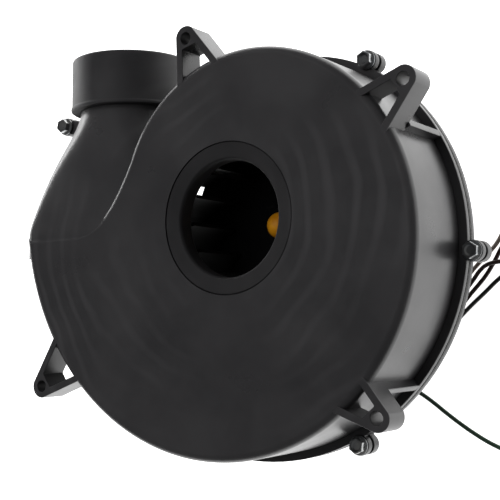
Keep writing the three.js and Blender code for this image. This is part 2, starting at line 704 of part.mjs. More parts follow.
boltPlaces().forEach(({ x, y }, i) => {
  place(`through_bolt_${i + 1}`, throughBolt(), zinc, [x, y, level(rearBellDepth) - 4 - 0.6]);
});

const groundPlace = polar(boltCircle, groundAngle);
const groundSeat = level(rearBellDepth) - 4 - clearance;
const groundScrew = place('ground_screw', hexScrew(4), zinc,
  [groundPlace.x, groundPlace.y, groundSeat - tabThickness - clearance]);
groundScrew.rotation.x = Math.PI;
place('ground_terminal', ringTerminal(), tinned,
  [groundPlace.x, groundPlace.y, groundSeat], radians(groundAngle));

const grommetStart = polar(cupRadius - bellWall - 2.3, grommetAngle);
const grommetMesh = place('lead_grommet', grommet(), blackRubber,
  [grommetStart.x, grommetStart.y, grommetHeight]);
grommetMesh.rotation.set(0, Math.PI / 2, radians(grommetAngle), 'ZYX');

for (const [name, { look, route, coil }] of Object.entries(leads)) {
  const [x, y] = coil.centre;
  const end = polar(coilInner + leadDiameter / 2, coil.endAngle);
  place(`lead_${name}`, leadTube(route), look);
  place(`lead_${name}_coil`, coilSolid(), look, [x, y, 0]);
  place(`lead_${name}_terminal`, terminal(), nylon, [x + end.x, y + end.y, coilHeight + clearance],
    radians(coil.endAngle + 90 * coil.turnBy));
}

const rotor = new THREE.Group();
fan.add(rotor);
const placeTurning = (name, solid, look) => place(name, solid, look, undefined, 0, rotor);
const rotorCore = bored(rotorRadius, level(coreRearDepth), level(coreFrontDepth), 24);
const frontThrustLow = level(coreFrontDepth - 4);
const rearThrustLow = bellWall + bearingLength + 3.3;
placeTurning('motor_shaft', motorShaft(), steel);
placeTurning('impeller', impeller(), blackPlastic);
placeTurning('hub_cap', hubCap(), yellowCap);
placeTurning('cooling_fan', coolingFan(), blackPlastic);
placeTurning('rotor_core', rotorCore, laminations);
placeTurning('front_thrust_washer',
  bored(thrustRadius, frontThrustLow, frontThrustLow + thrustThickness, 12), steel);
placeTurning('rear_thrust_washer',
  bored(thrustRadius, rearThrustLow, rearThrustLow + thrustThickness, 12), steel);

export default fan;
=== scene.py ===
import math

import bpy
from mathutils import Matrix, Vector


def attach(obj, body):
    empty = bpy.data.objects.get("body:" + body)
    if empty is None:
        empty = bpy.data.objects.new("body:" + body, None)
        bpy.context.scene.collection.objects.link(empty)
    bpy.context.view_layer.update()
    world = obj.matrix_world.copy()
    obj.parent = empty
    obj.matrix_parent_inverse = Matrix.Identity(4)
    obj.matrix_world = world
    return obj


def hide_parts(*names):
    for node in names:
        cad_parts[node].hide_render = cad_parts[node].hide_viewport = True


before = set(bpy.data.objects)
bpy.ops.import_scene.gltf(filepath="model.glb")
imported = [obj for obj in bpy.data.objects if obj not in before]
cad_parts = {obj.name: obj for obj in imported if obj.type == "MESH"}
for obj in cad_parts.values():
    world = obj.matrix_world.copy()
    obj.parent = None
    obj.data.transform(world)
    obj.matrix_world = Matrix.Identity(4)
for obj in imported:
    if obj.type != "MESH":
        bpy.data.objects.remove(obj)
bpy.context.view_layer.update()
print("frame loaded")

mm = 0.001
gap = 0.3  # between pieces that touch, in mm as every size below
inletHeight = 150.0


def level(depth):
    # height above the resting face of a depth below the inlet face
    return inletHeight - depth


# the camera comes first of all
cameraView = {"place": (0.2655, -0.0458, 0.5233), "ahead": (-0.5593, 0.0689, -0.8261),
              "right": (0.8281, 0.0, -0.5606), "lens": 75.6}


def makeCamera(view):
    bpy.ops.object.camera_add(location=view["place"])
    camera = bpy.context.object
    camera.name = "viewCamera"
    back = -Vector(view["ahead"]).normalized()
    right = Vector(view["right"])
    right = (right - back * right.dot(back)).normalized()
    up = back.cross(right)
    turn = Matrix((right, up, back)).transposed()
    camera.rotation_euler = turn.to_euler()
    camera.data.sensor_width = 36
    camera.data.lens = view["lens"]
    camera.data.clip_start = 0.01
    bpy.context.scene.camera = camera


makeCamera(cameraView)


# selecting pieces and finishing them
def clearSelection():
    if bpy.context.object and bpy.context.object.mode != "OBJECT":
        bpy.ops.object.mode_set(mode="OBJECT")
    bpy.ops.object.select_all(action="DESELECT")


def pick(piece):
    clearSelection()
    piece.select_set(True)
    bpy.context.view_layer.objects.active = piece


def nameIt(name):
    piece = bpy.context.object
    piece.name = name
    piece.data.name = name
    return piece


def selectWhere(piece, test):
    # leaves edit mode open, with the vertices that pass the test selected
    bpy.ops.object.mode_set(mode="EDIT")
    bpy.ops.mesh.select_mode(type="VERT")
    bpy.ops.mesh.select_all(action="DESELECT")
    bpy.ops.object.mode_set(mode="OBJECT")
    mesh = piece.data
    for vert in mesh.vertices:
        vert.select = test(vert.co / mm)
    for edge in mesh.edges:
        edge.select = all(mesh.vertices[i].select for i in edge.vertices)
    for face in mesh.polygons:
        face.select = all(mesh.vertices[i].select for i in face.vertices)
    bpy.ops.object.mode_set(mode="EDIT")


def applyPlace(piece):
    pick(piece)
    bpy.ops.object.transform_apply(location=True, rotation=True, scale=True)
    return piece


def applyModifier(piece, modifier):
    pick(piece)
    bpy.ops.object.modifier_apply(modifier=modifier.name)


def softEdges(piece, width, segments=2, angle=35):
    bevel = piece.modifiers.new("softEdges", "BEVEL")
    bevel.width = width * mm
    bevel.segments = segments
    bevel.limit_method = "ANGLE"
    bevel.angle_limit = math.radians(angle)
    bevel.miter_outer = "MITER_ARC"
    applyModifier(piece, bevel)
    return piece


def combine(piece, tools, how="UNION"):
    for tool in tools if isinstance(tools, (list, tuple)) else [tools]:
        join = piece.modifiers.new("join", "BOOLEAN")
        join.operation = how
        join.solver = "EXACT"
        join.object = tool
        applyModifier(piece, join)
        bpy.data.objects.remove(tool)
    return piece


def copyPiece(source, name, place=(0, 0, 0), turn=0.0):
    piece = source.copy()
    piece.data = source.data.copy()
    bpy.context.collection.objects.link(piece)
    piece.name = name
    piece.data.name = name
    piece.location = [value * mm for value in place]
    piece.rotation_euler = (0, 0, math.radians(turn))
    return applyPlace(piece)


def settle(piece, material, standsFor=(), body="fan_frame", angle=35):
    pick(piece)
    bpy.ops.object.shade_smooth_by_angle(angle=math.radians(angle))
    flatWalls = piece.modifiers.new("flatWalls", "WEIGHTED_NORMAL")
    flatWalls.keep_sharp = True
    flatWalls.weight = 80
    applyModifier(piece, flatWalls)
    piece.data.materials.clear()
    piece.data.materials.append(material)
    if standsFor:
        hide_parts(*standsFor)
    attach(piece, body)
    return piece


# basic shapes, in millimetres
def prismPiece(name, outline, low, high, roundTop=0.0, roundBottom=0.0, segments=3):
    # a flat outline in plan, extruded upwards, with its rims rounded
    clearSelection()
    bpy.ops.mesh.primitive_circle_add(vertices=len(outline), fill_type="NGON")
    piece = nameIt(name)
    for vert, (x, y) in zip(piece.data.vertices, outline):
        vert.co = (x * mm, y * mm, low * mm)
    bpy.ops.object.mode_set(mode="EDIT")
    bpy.ops.mesh.select_all(action="SELECT")
    bpy.ops.mesh.extrude_region_move(TRANSFORM_OT_translate={"value": (0, 0, (high - low) * mm)})
    bpy.ops.mesh.select_all(action="SELECT")
    bpy.ops.mesh.normals_make_consistent(inside=False)
    for rim, width in ((high, roundTop), (low, roundBottom)):
        if width:
            selectWhere(piece, lambda at, rim=rim: abs(at.z - rim) < 0.01)
            bpy.ops.mesh.bevel(offset=width * mm, segments=segments, affect="EDGES", clamp_overlap=True)
    bpy.ops.object.mode_set(mode="OBJECT")
    return piece


def turnPiece(name, profile, steps=64, place=(0, 0, 0), along="Z"):
    # a closed outline of (radius, height) spun about the axis
    clearSelection()
    bpy.ops.mesh.primitive_circle_add(vertices=len(profile), fill_type="NOTHING")
    piece = nameIt(name)
    for vert, (radius, height) in zip(piece.data.vertices, profile):
        vert.co = (radius * mm, 0, height * mm)
    bpy.ops.object.mode_set(mode="EDIT")
    bpy.ops.mesh.select_all(action="SELECT")
    bpy.ops.mesh.spin(steps=steps, angle=2 * math.pi, center=(0, 0, 0), axis=(0, 0, 1))
    bpy.ops.mesh.select_all(action="SELECT")
    bpy.ops.mesh.remove_doubles(threshold=1e-6)
    bpy.ops.mesh.delete_loose()
    bpy.ops.mesh.select_all(action="SELECT")
    bpy.ops.mesh.normals_make_consistent(inside=False)
    bpy.ops.object.mode_set(mode="OBJECT")
    if along == "Y":
        piece.rotation_euler = (-math.pi / 2, 0, 0)
    if along == "X":
        piece.rotation_euler = (0, math.pi / 2, 0)
    piece.location = [value * mm for value in place]
    return applyPlace(piece)


def rodPiece(name, radius, low, high, x=0.0, y=0.0, sides=32, rim=0.0):
    clearSelection()
    bpy.ops.mesh.primitive_cylinder_add(vertices=sides, radius=radius * mm, depth=(high - low) * mm,
                                        location=(x * mm, y * mm, (low + high) / 2 * mm))
    piece = applyPlace(nameIt(name))
    return softEdges(piece, rim, 2, 60) if rim else piece


def barPiece(name, start, end, thickness, low, high, rim=0.4):
    # an upright bar between two points in plan
    clearSelection()
    along = Vector(end) - Vector(start)
    bpy.ops.mesh.primitive_cube_add(size=1, location=((start[0] + end[0]) / 2 * mm,
                                                      (start[1] + end[1]) / 2 * mm, (low + high) / 2 * mm))
    piece = nameIt(name)
    piece.scale = (along.length * mm, thickness * mm, (high - low) * mm)
    piece.rotation_euler = (0, 0, math.atan2(along.y, along.x))
    applyPlace(piece)
    return softEdges(piece, rim, 2, 60) if rim else piece


def boxPiece(name, low, high, rim=0.0):
    clearSelection()
    bpy.ops.mesh.primitive_cube_add(size=1, location=[(a + b) / 2 * mm for a, b in zip(low, high)])
    piece = nameIt(name)
    piece.scale = [(b - a) * mm for a, b in zip(low, high)]
    applyPlace(piece)
    return softEdges(piece, rim, 3, 60) if rim else piece


def polar(radius, degrees):
    return (radius * math.cos(math.radians(degrees)), radius * math.sin(math.radians(degrees)))


def mixUp(low, high, share):
    return low + (high - low) * share


def easeIn(share):
    share = min(max(share, 0.0), 1.0)
    return share * share * (3 - 2 * share)


# finishes
def startMaterial(name, roughness=0.5, metallic=0.0):
    material = bpy.data.materials.new(name)
    material.use_nodes = True
    nodes = material.node_tree.nodes
    shader = nodes["Principled BSDF"]
    shader.inputs["Roughness"].default_value = roughness
    shader.inputs["Metallic"].default_value = metallic
    coords = nodes.new("ShaderNodeTexCoord")
    kit = {"nodes": nodes, "links": material.node_tree.links, "shader": shader,
           "place": coords.outputs["Object"]}
    return material, kit


def stretched(kit, scale, turn=(0, 0, 0)):
    mapping = kit["nodes"].new("ShaderNodeMapping")
    mapping.inputs["Scale"].default_value = scale
    mapping.inputs["Rotation"].default_value = turn
    kit["links"].new(kit["place"], mapping.inputs["Vector"])
    return mapping.outputs["Vector"]


def noise(kit, scale, detail=4.0, rough=0.5, place=None):
    node = kit["nodes"].new("ShaderNodeTexNoise")
    node.inputs["Scale"].default_value = scale
    node.inputs["Detail"].default_value = detail
    node.inputs["Roughness"].default_value = rough
    kit["links"].new(place or kit["place"], node.inputs["Vector"])
    return node.outputs["Fac"]


def cells(kit, scale, output="Color"):
    node = kit["nodes"].new("ShaderNodeTexVoronoi")
    node.inputs["Scale"].default_value = scale
    kit["links"].new(kit["place"], node.inputs["Vector"])
    return node.outputs[output]


def spread(kit, source, low, high, toLow=0.0, toHigh=1.0):
    node = kit["nodes"].new("ShaderNodeMapRange")
    for socket, value in zip(("From Min", "From Max", "To Min", "To Max"), (low, high, toLow, toHigh)):
        node.inputs[socket].default_value = value
    kit["links"].new(source, node.inputs["Value"])
    return node.outputs["Result"]


def blendColours(kit, share, first, second):
    node = kit["nodes"].new("ShaderNodeMix")
    node.data_type = "RGBA"
    kit["links"].new(share, node.inputs[0])
    for socket, colour in ((node.inputs[6], first), (node.inputs[7], second)):
        if isinstance(colour, tuple):
            socket.default_value = (*colour, 1)
        else:
            kit["links"].new(colour, socket)
    return node.outputs[2]


def addUp(kit, first, second, share=1.0):
    node = kit["nodes"].new("ShaderNodeMath")
    node.operation = "MULTIPLY_ADD"
    kit["links"].new(second, node.inputs[0])
    node.inputs[1].default_value = share
    kit["links"].new(first, node.inputs[2])
    return node.outputs[0]


def multiply(kit, first, second):
    node = kit["nodes"].new("ShaderNodeMath")
    node.operation = "MULTIPLY"
    kit["links"].new(first, node.inputs[0])
    kit["links"].new(second, node.inputs[1])
    return node.outputs[0]


def flowMarks(kit, pitch):
    # faint rings round the inlet, wandering a little, as the moulding leaves them
    flat = stretched(kit, (1.0, 1.0, 0.0))
    length = kit["nodes"].new("ShaderNodeVectorMath")
    length.operation = "LENGTH"
    kit["links"].new(flat, length.inputs[0])
    wander = addUp(kit, length.outputs["Value"], noise(kit, 14, 2, 0.5), 0.035)
    wave = kit["nodes"].new("ShaderNodeMath")
    wave.operation = "MULTIPLY"
    kit["links"].new(wander, wave.inputs[0])
    wave.inputs[1].default_value = pitch
    rings = kit["nodes"].new("ShaderNodeMath")
    rings.operation = "SINE"
    kit["links"].new(wave.outputs[0], rings.inputs[0])
    return rings.outputs[0]


def paint(kit, colour=None, roughness=None, height=None, strength=0.1, distance=0.0002):
    shader = kit["shader"]
    if colour is not None:
        kit["links"].new(colour, shader.inputs["Base Color"])
    if roughness is not None:
        kit["links"].new(roughness, shader.inputs["Roughness"])
    if height is not None:
        bump = kit["nodes"].new("ShaderNodeBump")
        bump.inputs["Strength"].default_value = strength
        bump.inputs["Distance"].default_value = distance
        kit["links"].new(height, bump.inputs["Height"])
        kit["links"].new(bump.outputs["Normal"], shader.inputs["Normal"])


def mouldedPlastic(name, dark, light, dust=0.1, specular=0.55, polish=(0.27, 0.39)):
    material, kit = startMaterial(name)
    clouds = spread(kit, noise(kit, 26, 6, 0.62), 0.36, 0.66)
    colour = blendColours(kit, clouds, dark, light)
    flow = spread(kit, flowMarks(kit, 620.0), 0.1, 1.0, 0.0, 0.3)
    flow = multiply(kit, flow, spread(kit, noise(kit, 17, 3, 0.5), 0.42, 0.68))
    colour = blendColours(kit, flow, colour, tuple(value * 1.9 for value in light))
    specks = spread(kit, noise(kit, 900, 3, 0.6), 0.67, 0.76, 0.0, dust)
    colour = blendColours(kit, specks, colour, (0.07, 0.068, 0.066))
    scuffPlace = stretched(kit, (1.0, 9.0, 5.0), (0.0, 0.0, 0.7))
    scuffs = spread(kit, noise(kit, 38, 5, 0.7, scuffPlace), 0.66, 0.78, 0.0, 0.22)
    colour = blendColours(kit, scuffs, colour, (0.05, 0.049, 0.051))
    roughness = spread(kit, noise(kit, 34, 4, 0.55), 0.3, 0.7, *polish)
    height = addUp(kit, noise(kit, 1500, 3), noise(kit, 90, 3), 2.5)
    paint(kit, colour, roughness, height, 0.1, 0.00012)
    kit["shader"].inputs["Specular IOR Level"].default_value = specular
    return material


def plainPlastic(name, dark, light, roughness=0.4, coat=0.0):
    material, kit = startMaterial(name, roughness)
    colour = blendColours(kit, spread(kit, noise(kit, 160, 4), 0.35, 0.65), dark, light)
    gloss = spread(kit, noise(kit, 240, 3), 0.3, 0.7, roughness - 0.06, roughness + 0.08)
    paint(kit, colour, gloss, noise(kit, 900, 3), 0.08, 0.0001)
    kit["shader"].inputs["Coat Weight"].default_value = coat
    return material


def insulation(name, dark, light, roughness=0.42):
    material, kit = startMaterial(name, roughness)
    colour = blendColours(kit, spread(kit, noise(kit, 210, 5, 0.6), 0.35, 0.68), dark, light)
    smudge = spread(kit, noise(kit, 900, 3), 0.6, 0.75, 0.0, 0.3)
    colour = blendColours(kit, smudge, colour, tuple(value * 0.55 for value in dark))
    paint(kit, colour, spread(kit, noise(kit, 500, 2), 0.3, 0.7, roughness - 0.08, roughness + 0.1),
          noise(kit, 1600, 3), 0.12, 0.0001)
    kit["shader"].inputs["Specular IOR Level"].default_value = 0.55
    return material


def platedMetal(name, dark, light, rough=(0.24, 0.42), grain=420.0, spangle=0.0):
    material, kit = startMaterial(name, 0.3, 1.0)
    patches = spread(kit, noise(kit, 130, 5, 0.6), 0.35, 0.65)
    colour = blendColours(kit, patches, dark, light)
    if spangle:
        flakes = spread(kit, cells(kit, spangle, "Distance"), 0.0, 0.9, 0.0, 0.45)
        colour = blendColours(kit, flakes, colour, tuple(min(value * 1.3, 1) for value in light))
    roughness = spread(kit, noise(kit, grain, 4, 0.6), 0.3, 0.7, *rough)
    paint(kit, colour, roughness, noise(kit, grain * 2.5, 3), 0.1, 0.00008)
    return material


def stackedSheets(name):
    material, kit = startMaterial(name, 0.5, 0.85)
    sheets = noise(kit, 1.0, 1, 0.4, stretched(kit, (4.0, 4.0, 1900.0)))
    colour = blendColours(kit, spread(kit, sheets, 0.3, 0.7), (0.07, 0.07, 0.075), (0.22, 0.22, 0.23))
    rust = spread(kit, noise(kit, 120, 5, 0.65), 0.6, 0.75, 0.0, 0.35)
    colour = blendColours(kit, rust, colour, (0.17, 0.09, 0.05))
    paint(kit, colour, spread(kit, noise(kit, 300, 3), 0.3, 0.7, 0.4, 0.6), sheets, 0.5, 0.0002)
    return material


def woundWire(name):
    material, kit = startMaterial(name, 0.35, 0.5)
    strands = noise(kit, 1.0, 2, 0.5, stretched(kit, (700.0, 700.0, 1400.0)))
    colour = blendColours(kit, spread(kit, strands, 0.35, 0.65), (0.16, 0.05, 0.02), (0.5, 0.2, 0.08))
    paint(kit, colour, spread(kit, strands, 0.3, 0.7, 0.25, 0.45), strands, 0.6, 0.0004)
    kit["shader"].inputs["Coat Weight"].default_value = 0.3
    return material


def foamSheet(name):
    material, kit = startMaterial(name, 0.9)
    pores = cells(kit, 1400, "Distance")
    colour = blendColours(kit, spread(kit, pores, 0.1, 0.7), (0.05, 0.05, 0.049), (0.1, 0.1, 0.098))
    paint(kit, colour, spread(kit, noise(kit, 300, 2), 0.3, 0.7, 0.8, 0.95), pores, 0.5, 0.0003)
    return material


blackPlastic = mouldedPlastic("blackPlastic", (0.0165, 0.0160, 0.0172), (0.025, 0.0243, 0.0255))
# impeller and cooling fan black is darker than the plastic itself: painted shade for the dark hollow inside
# the housing
shadeDarkenedPlastic = mouldedPlastic("shadeDarkenedPlastic", (0.002, 0.002, 0.0022), (0.0035, 0.0035, 0.0037), 0.02,
                                 0.1, (0.6, 0.7))
collarPlastic = mouldedPlastic("collarPlastic", (0.0150, 0.0146, 0.0156), (0.0225, 0.022, 0.0232), 0.08, 0.4,
                               (0.45, 0.58))
ringPlastic = mouldedPlastic("ringPlastic", (0.011, 0.0107, 0.0114), (0.0165, 0.016, 0.0168), 0.08, 0.25,
                             (0.45, 0.58))
foam = foamSheet("gasketFoam")
rubber = plainPlastic("blackRubber", (0.012, 0.012, 0.012), (0.03, 0.03, 0.03), 0.7)
yellow = plainPlastic("yellowCapPlastic", (0.30, 0.115, 0.003), (0.42, 0.18, 0.006), 0.45, 0.1)
zinc = platedMetal("zincPlate", (0.30, 0.32, 0.34), (0.52, 0.52, 0.51))
galvanised = platedMetal("galvanisedSteel", (0.36, 0.38, 0.4), (0.55, 0.57, 0.58), (0.36, 0.55), 300, 90)
sheets = stackedSheets("laminations")
windings = woundWire("copperWindings")
bronze = platedMetal("sinteredBronze", (0.3, 0.19, 0.07), (0.5, 0.34, 0.15), (0.4, 0.6), 600)
steel = platedMetal("groundSteel", (0.42, 0.43, 0.44), (0.6, 0.6, 0.61), (0.18, 0.3), 700)
tinned = platedMetal("tinnedBrass", (0.5, 0.49, 0.44), (0.72, 0.7, 0.65), (0.28, 0.45))
nylon = plainPlastic("clearNylon", (0.62, 0.58, 0.5), (0.74, 0.71, 0.63), 0.35, 0.1)
tieNylon = plainPlastic("tieNylon", (0.012, 0.012, 0.012), (0.03, 0.03, 0.03), 0.45)
wireFinish = {
    "brown": insulation("brownInsulation", (0.026, 0.0095, 0.0065), (0.05, 0.02, 0.014)),
    "white": insulation("whiteInsulation", (0.3, 0.24, 0.2), (0.42, 0.36, 0.31)),
    "black": insulation("blackInsulation", (0.008, 0.0085, 0.007), (0.018, 0.019, 0.016)),
    "green": insulation("greenInsulation", (0.013, 0.038, 0.019), (0.025, 0.065, 0.035)),
}
print("materials ready")

# five loose leads, each coiled at its end
coilForm = {"inner": 11.0, "pitch": 2.5, "floor": 1.24, "top": 4.9, "barrel": 1.9, "turns": 4}
leadWire = {"diameter": 2.3, "length": 0.457}  # 18 inches of 18 gauge wire, nominally
leads = {
    "brown_a": {
        "finish": "brown", "start": (6.5, -29.4, 10.35),
        "route": [(7.8, -34.2, 10.35), (9, -38, 10.35), (10.5, -41.7, 10.04), (12.5, -45.3, 8.83),
                  (15.6, -48.6, 6.8), (19.2, -51.2, 4.55), (23.8, -52.7, 2.4), (28.8, -52.6, 1.29),
                  (33.4, -51, 1.25), (36.9, -48.3, 1.25), (42.8, -41.8, 1.25), (47.6, -36.1, 1.25),
                  (52.3, -30.6, 1.25), (56.6, -26, 1.25), (60.6, -21.3, 1.25), (64.7, -15.2, 1.25),
                  (68.6, -8.3, 1.25), (72.7, -0.8, 1.25), (75.2, 8, 1.25), (75.8, 18, 1.25)],
        "centre": (92, 18), "turnBy": -1, "endAngle": 60},
    "brown_b": {
        "finish": "brown", "start": (9.1, -28.7, 10.35),
        "route": [(10.4, -33.5, 10.35), (11.6, -37.3, 10.35), (13.1, -41, 10.04), (14.9, -43.9, 8.83),
                  (17.4, -46.7, 6.8), (20.4, -48.8, 4.55), (24.2, -50, 2.4), (28.3, -49.9, 1.29),
                  (32.1, -48.6, 1.25), (35, -46.4, 1.25), (40.6, -40.4, 1.25), (46, -33.2, 1.25),
                  (50.2, -27.8, 1.25), (54, -23.2, 1.5), (57.9, -18.8, 2.7), (62.2, -15.9, 3.85),
                  (66.9, -14.7, 3.9), (72, -14, 2.9), (77.6, -12.1, 1.6), (84, -8.6, 1.25),
                  (91, -3.6, 1.25), (100.6, 1.8, 1.25), (112, 4.2, 1.25)],
        "centre": (112, -12), "turnBy": -1, "endAngle": -20},
    "white": {
        "finish": "white", "start": (9.1, -28.7, 7.65),
        "route": [(10.4, -33.5, 7.65), (11.6, -37.3, 7.33), (13, -41, 6.12), (14.8, -44, 4.45),
                  (17.7, -46.2, 2.6), (21.1, -47.2, 1.4), (24.6, -47.5, 1.25), (27.9, -47.2, 1.25),
                  (30.9, -46.1, 1.25), (33.2, -44.4, 1.25), (38.8, -37.6, 1.25), (44.6, -29.4, 1.25),
                  (50.4, -21.8, 1.25), (56.3, -15.4, 1.25), (62, -9.9, 1.25), (67, -4.4, 1.25),
                  (70.4, 2, 1.25), (71.9, 10, 1.25), (72.5, 24, 1.25), (72.5, 38, 1.25), (72.5, 52, 1.25)],
        "centre": (88.7, 52), "turnBy": -1, "endAngle": 10},
    "black": {
        "finish": "black", "start": (6.5, -29.4, 7.65),
        "route": [(7.8, -34.2, 7.65), (8.6, -38.1, 7.33), (9.3, -42, 6.12), (10.7, -46.3, 4.45),
                  (13.7, -50.6, 2.6), (17.9, -53.6, 1.4), (23.5, -55.3, 1.25), (29.2, -55.2, 1.25),
                  (34.7, -53.3, 1.25), (38.8, -50.3, 1.25), (45, -44, 1.25), (52, -37.2, 1.25),
                  (60, -30.1, 1.25), (68.2, -22.8, 1.25), (74.4, -18.9, 1.25), (80.5, -17.8, 1.25),
                  (86.6, -18.3, 1.25)],
        "centre": (87, -34.5), "turnBy": -1, "endAngle": -50},
    "green": {
        "finish": "green", "start": (0, -50.6, 16.8),
        "route": [(0, -53.6, 16.8), (0.2, -58.5, 16), (0.9, -63.6, 13.3), (2.4, -68.2, 9.4),
                  (5.4, -72.6, 5.4), (10, -76.6, 2.6), (16, -80.2, 1.4), (22.6, -83.6, 1.25),
                  (30, -88.2, 1.25), (37.6, -93.6, 1.25), (45.4, -98.8, 1.25), (53.4, -103.6, 1.25),
                  (61.8, -107.9, 1.25), (71, -111.2, 1.25), (80.6, -112.7, 1.25), (90, -112.7, 1.25)],
        "centre": (90, -96.5), "turnBy": 1, "endAngle": 35},
}


def alongKeys(keys, travel):
    for (startAt, low), (endAt, high) in zip(keys, keys[1:]):
        if travel <= endAt:
            return mixUp(low, high, easeIn((travel - startAt) / (endAt - startAt)))
    return keys[-1][1]


def coilPoints(lead):
    # two turns on the floor going inwards, two on top of them going outwards, then up to the terminal
    centreX, centreY = lead["centre"]
    inner, outer = coilForm["inner"], coilForm["inner"] + coilForm["pitch"]
    floor, upper = coilForm["floor"], coilForm["floor"] + coilForm["pitch"]
    endX, endY, _ = lead["route"][-1]
    startAngle = math.degrees(math.atan2(endY - centreY, endX - centreX))
    whole = 360 * coilForm["turns"] + (lead["turnBy"] * (lead["endAngle"] - startAngle)) % 360
    if whole > 360 * coilForm["turns"] + 240:
        whole -= 360
    lift = coilForm["top"] + gap + coilForm["barrel"]
    arrive = math.hypot(endX - centreX, endY - centreY)
    radii = [(0, arrive), (80, outer), (360, outer), (430, inner), (whole - 440, inner), (whole - 350, outer),
             (whole - 110, outer), (whole, inner + leadWire["diameter"] / 2)]
    heights = [(0, floor + 0.05), (670, floor), (740, upper), (whole - 125, upper), (whole - 20, lift),
               (whole, lift)]
    points = []
    for travel in [8, *range(24, int(whole), 24)]:
        x, y = polar(alongKeys(radii, travel), startAngle + lead["turnBy"] * travel)
        points.append((centreX + x, centreY + y, alongKeys(heights, travel)))
    heading = lead["endAngle"] + 90 * lead["turnBy"]
    endPoint = Vector(polar(radii[-1][1], lead["endAngle"])) + Vector((centreX, centreY))
    ahead = Vector(polar(3.0, heading))
    return points[:-1] + [(endPoint.x, endPoint.y, lift), (endPoint.x + ahead.x, endPoint.y + ahead.y, lift)]


def leadCurve(name, lead):
    points = [lead["start"]] + lead["route"] + coilPoints(lead)
    curve = bpy.data.curves.new(name, "CURVE")
    curve.dimensions = "3D"
    curve.resolution_u = 4
    curve.bevel_depth = leadWire["diameter"] / 2 * mm
    curve.bevel_resolution = 3
    curve.use_fill_caps = True
    spline = curve.splines.new("BEZIER")
    spline.bezier_points.add(len(points) - 1)
    for knot, point in zip(spline.bezier_points, points):
        knot.co = Vector(point) * mm
        knot.handle_left_type = "AUTO"
        knot.handle_right_type = "AUTO"
    piece = bpy.data.objects.new(name, curve)
    bpy.context.collection.objects.link(piece)
    curve.materials.append(wireFinish[lead["finish"]])
    return piece


# push-on terminal in its clear sleeve, the wire's barrel towards -X
terminalForm = {"length": 13.0, "width": 6.4, "height": 3.4, "barrel": 1.9}


def modelTerminal(form):
    half = form["length"] / 2
    sleeve = boxPiece("terminalForm", (-half, -form["width"] / 2, 0),
                      (half, form["width"] / 2, form["height"]), 0.8)
    throat = boxPiece("throat", (half - 8.5, -2.3, 1.1), (half + 1, 2.3, 2.3))
    barrel = turnPiece("barrel", [(0, -12), (1.5, -12), (1.9, -11.6), (1.9, -10.2), (1.6, -9.9), (1.6, -8.8),
                                  (1.9, -8.5), (1.9, -6), (0, -6)], 24, (0, 0, form["barrel"]), "X")
    combine(sleeve, barrel)
    combine(sleeve, throat, "DIFFERENCE")
    return sleeve


# a nylon tie round the coil's turns
tieForm = {"width": 2.2, "thickness": 0.7}


def modelTie(name, lead):
    inner = coilForm["inner"] - leadWire["diameter"] / 2 - 0.35
    outer = coilForm["inner"] + coilForm["pitch"] + leadWire["diameter"] / 2 + 0.35
    angle = lead["endAngle"] + 150
    x, y = polar((inner + outer) / 2, angle)
    band = boxPiece(name, (inner - tieForm["thickness"] - 12.25, -tieForm["width"] / 2, 0.05),
                    (outer + tieForm["thickness"] - 12.25, tieForm["width"] / 2, 5.4), 0.3)
    window = boxPiece("window", (inner - 12.25, -3, 0.35), (outer - 12.25, 3, 4.95))
    combine(band, window, "DIFFERENCE")
    head = boxPiece("head", (outer - 12.25, -1.9, 1.2), (outer - 12.25 + 2.6, 1.9, 4.2), 0.4)
    combine(band, head)
    band.rotation_euler = (0, 0, math.radians(angle))
    band.location = ((lead["centre"][0] + x) * mm, (lead["centre"][1] + y) * mm, 0)
    return applyPlace(band)


terminalModel = modelTerminal(terminalForm)
for leadName, lead in leads.items():
    wire = leadCurve("wire_" + leadName, lead)
    heading = lead["endAngle"] + 90 * lead["turnBy"]
    seat = Vector(polar(coilForm["inner"] + leadWire["diameter"] / 2,
                        lead["endAngle"])) + Vector(lead["centre"])
    seat += Vector(polar(9, heading))
    terminal = copyPiece(terminalModel, "terminal_" + leadName,
                         (seat.x, seat.y, coilForm["top"] + gap), heading)
    tie = modelTie("tie_" + leadName, lead)
    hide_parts("lead_" + leadName, "lead_" + leadName + "_coil")
    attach(wire, "fan_frame")
    settle(terminal, nylon, ["lead_" + leadName + "_terminal"])
    settle(tie, tieNylon)
bpy.data.objects.remove(terminalModel)
print("leads laid")

# moulded housing, its flange, bosses and lugs
scroll = {"tongue": 152.0, "start": 64.3, "growth": 0.158, "speedUp": 0.00007, "sweep": 330.6, "round": 4.0,
          "wall": 2.6, "depth": 60.0, "mouthX": -90.0, "mouthY": -2.0,
          "pullOut": 15, "pullIn": (-66, 12)}
neck = {"x": -79.8, "radius": 25.7, "startY": 58.0, "endY": 84.5, "ductRight": -47.4}
joint = {"front": 42.8, "thickness": 3.0, "gasket": 1.2, "width": 3.9}
collarForm = {"radius": 30.15, "startY": 59.6, "length": 26.0}
lugForm = {"depth": 14.0, "tip": 5.6, "hole": 2.6, "leg": 3.4, "web": 1.9, "rib": 3.2}
bossForm = {"radius": 4.65, "reach": 6.5, "top": 42.2, "ductTop": 22.0, "socket": 52.5, "screw": 2.1}
axisHeight = level(scroll["depth"] / 2)  # of the outlet


def onScroll(turn, offset=0.0):
    radius = scroll["start"] + scroll["growth"] * turn + scroll["speedUp"] * turn ** 2
    return Vector(polar(radius + offset, scroll["tongue"] - turn))


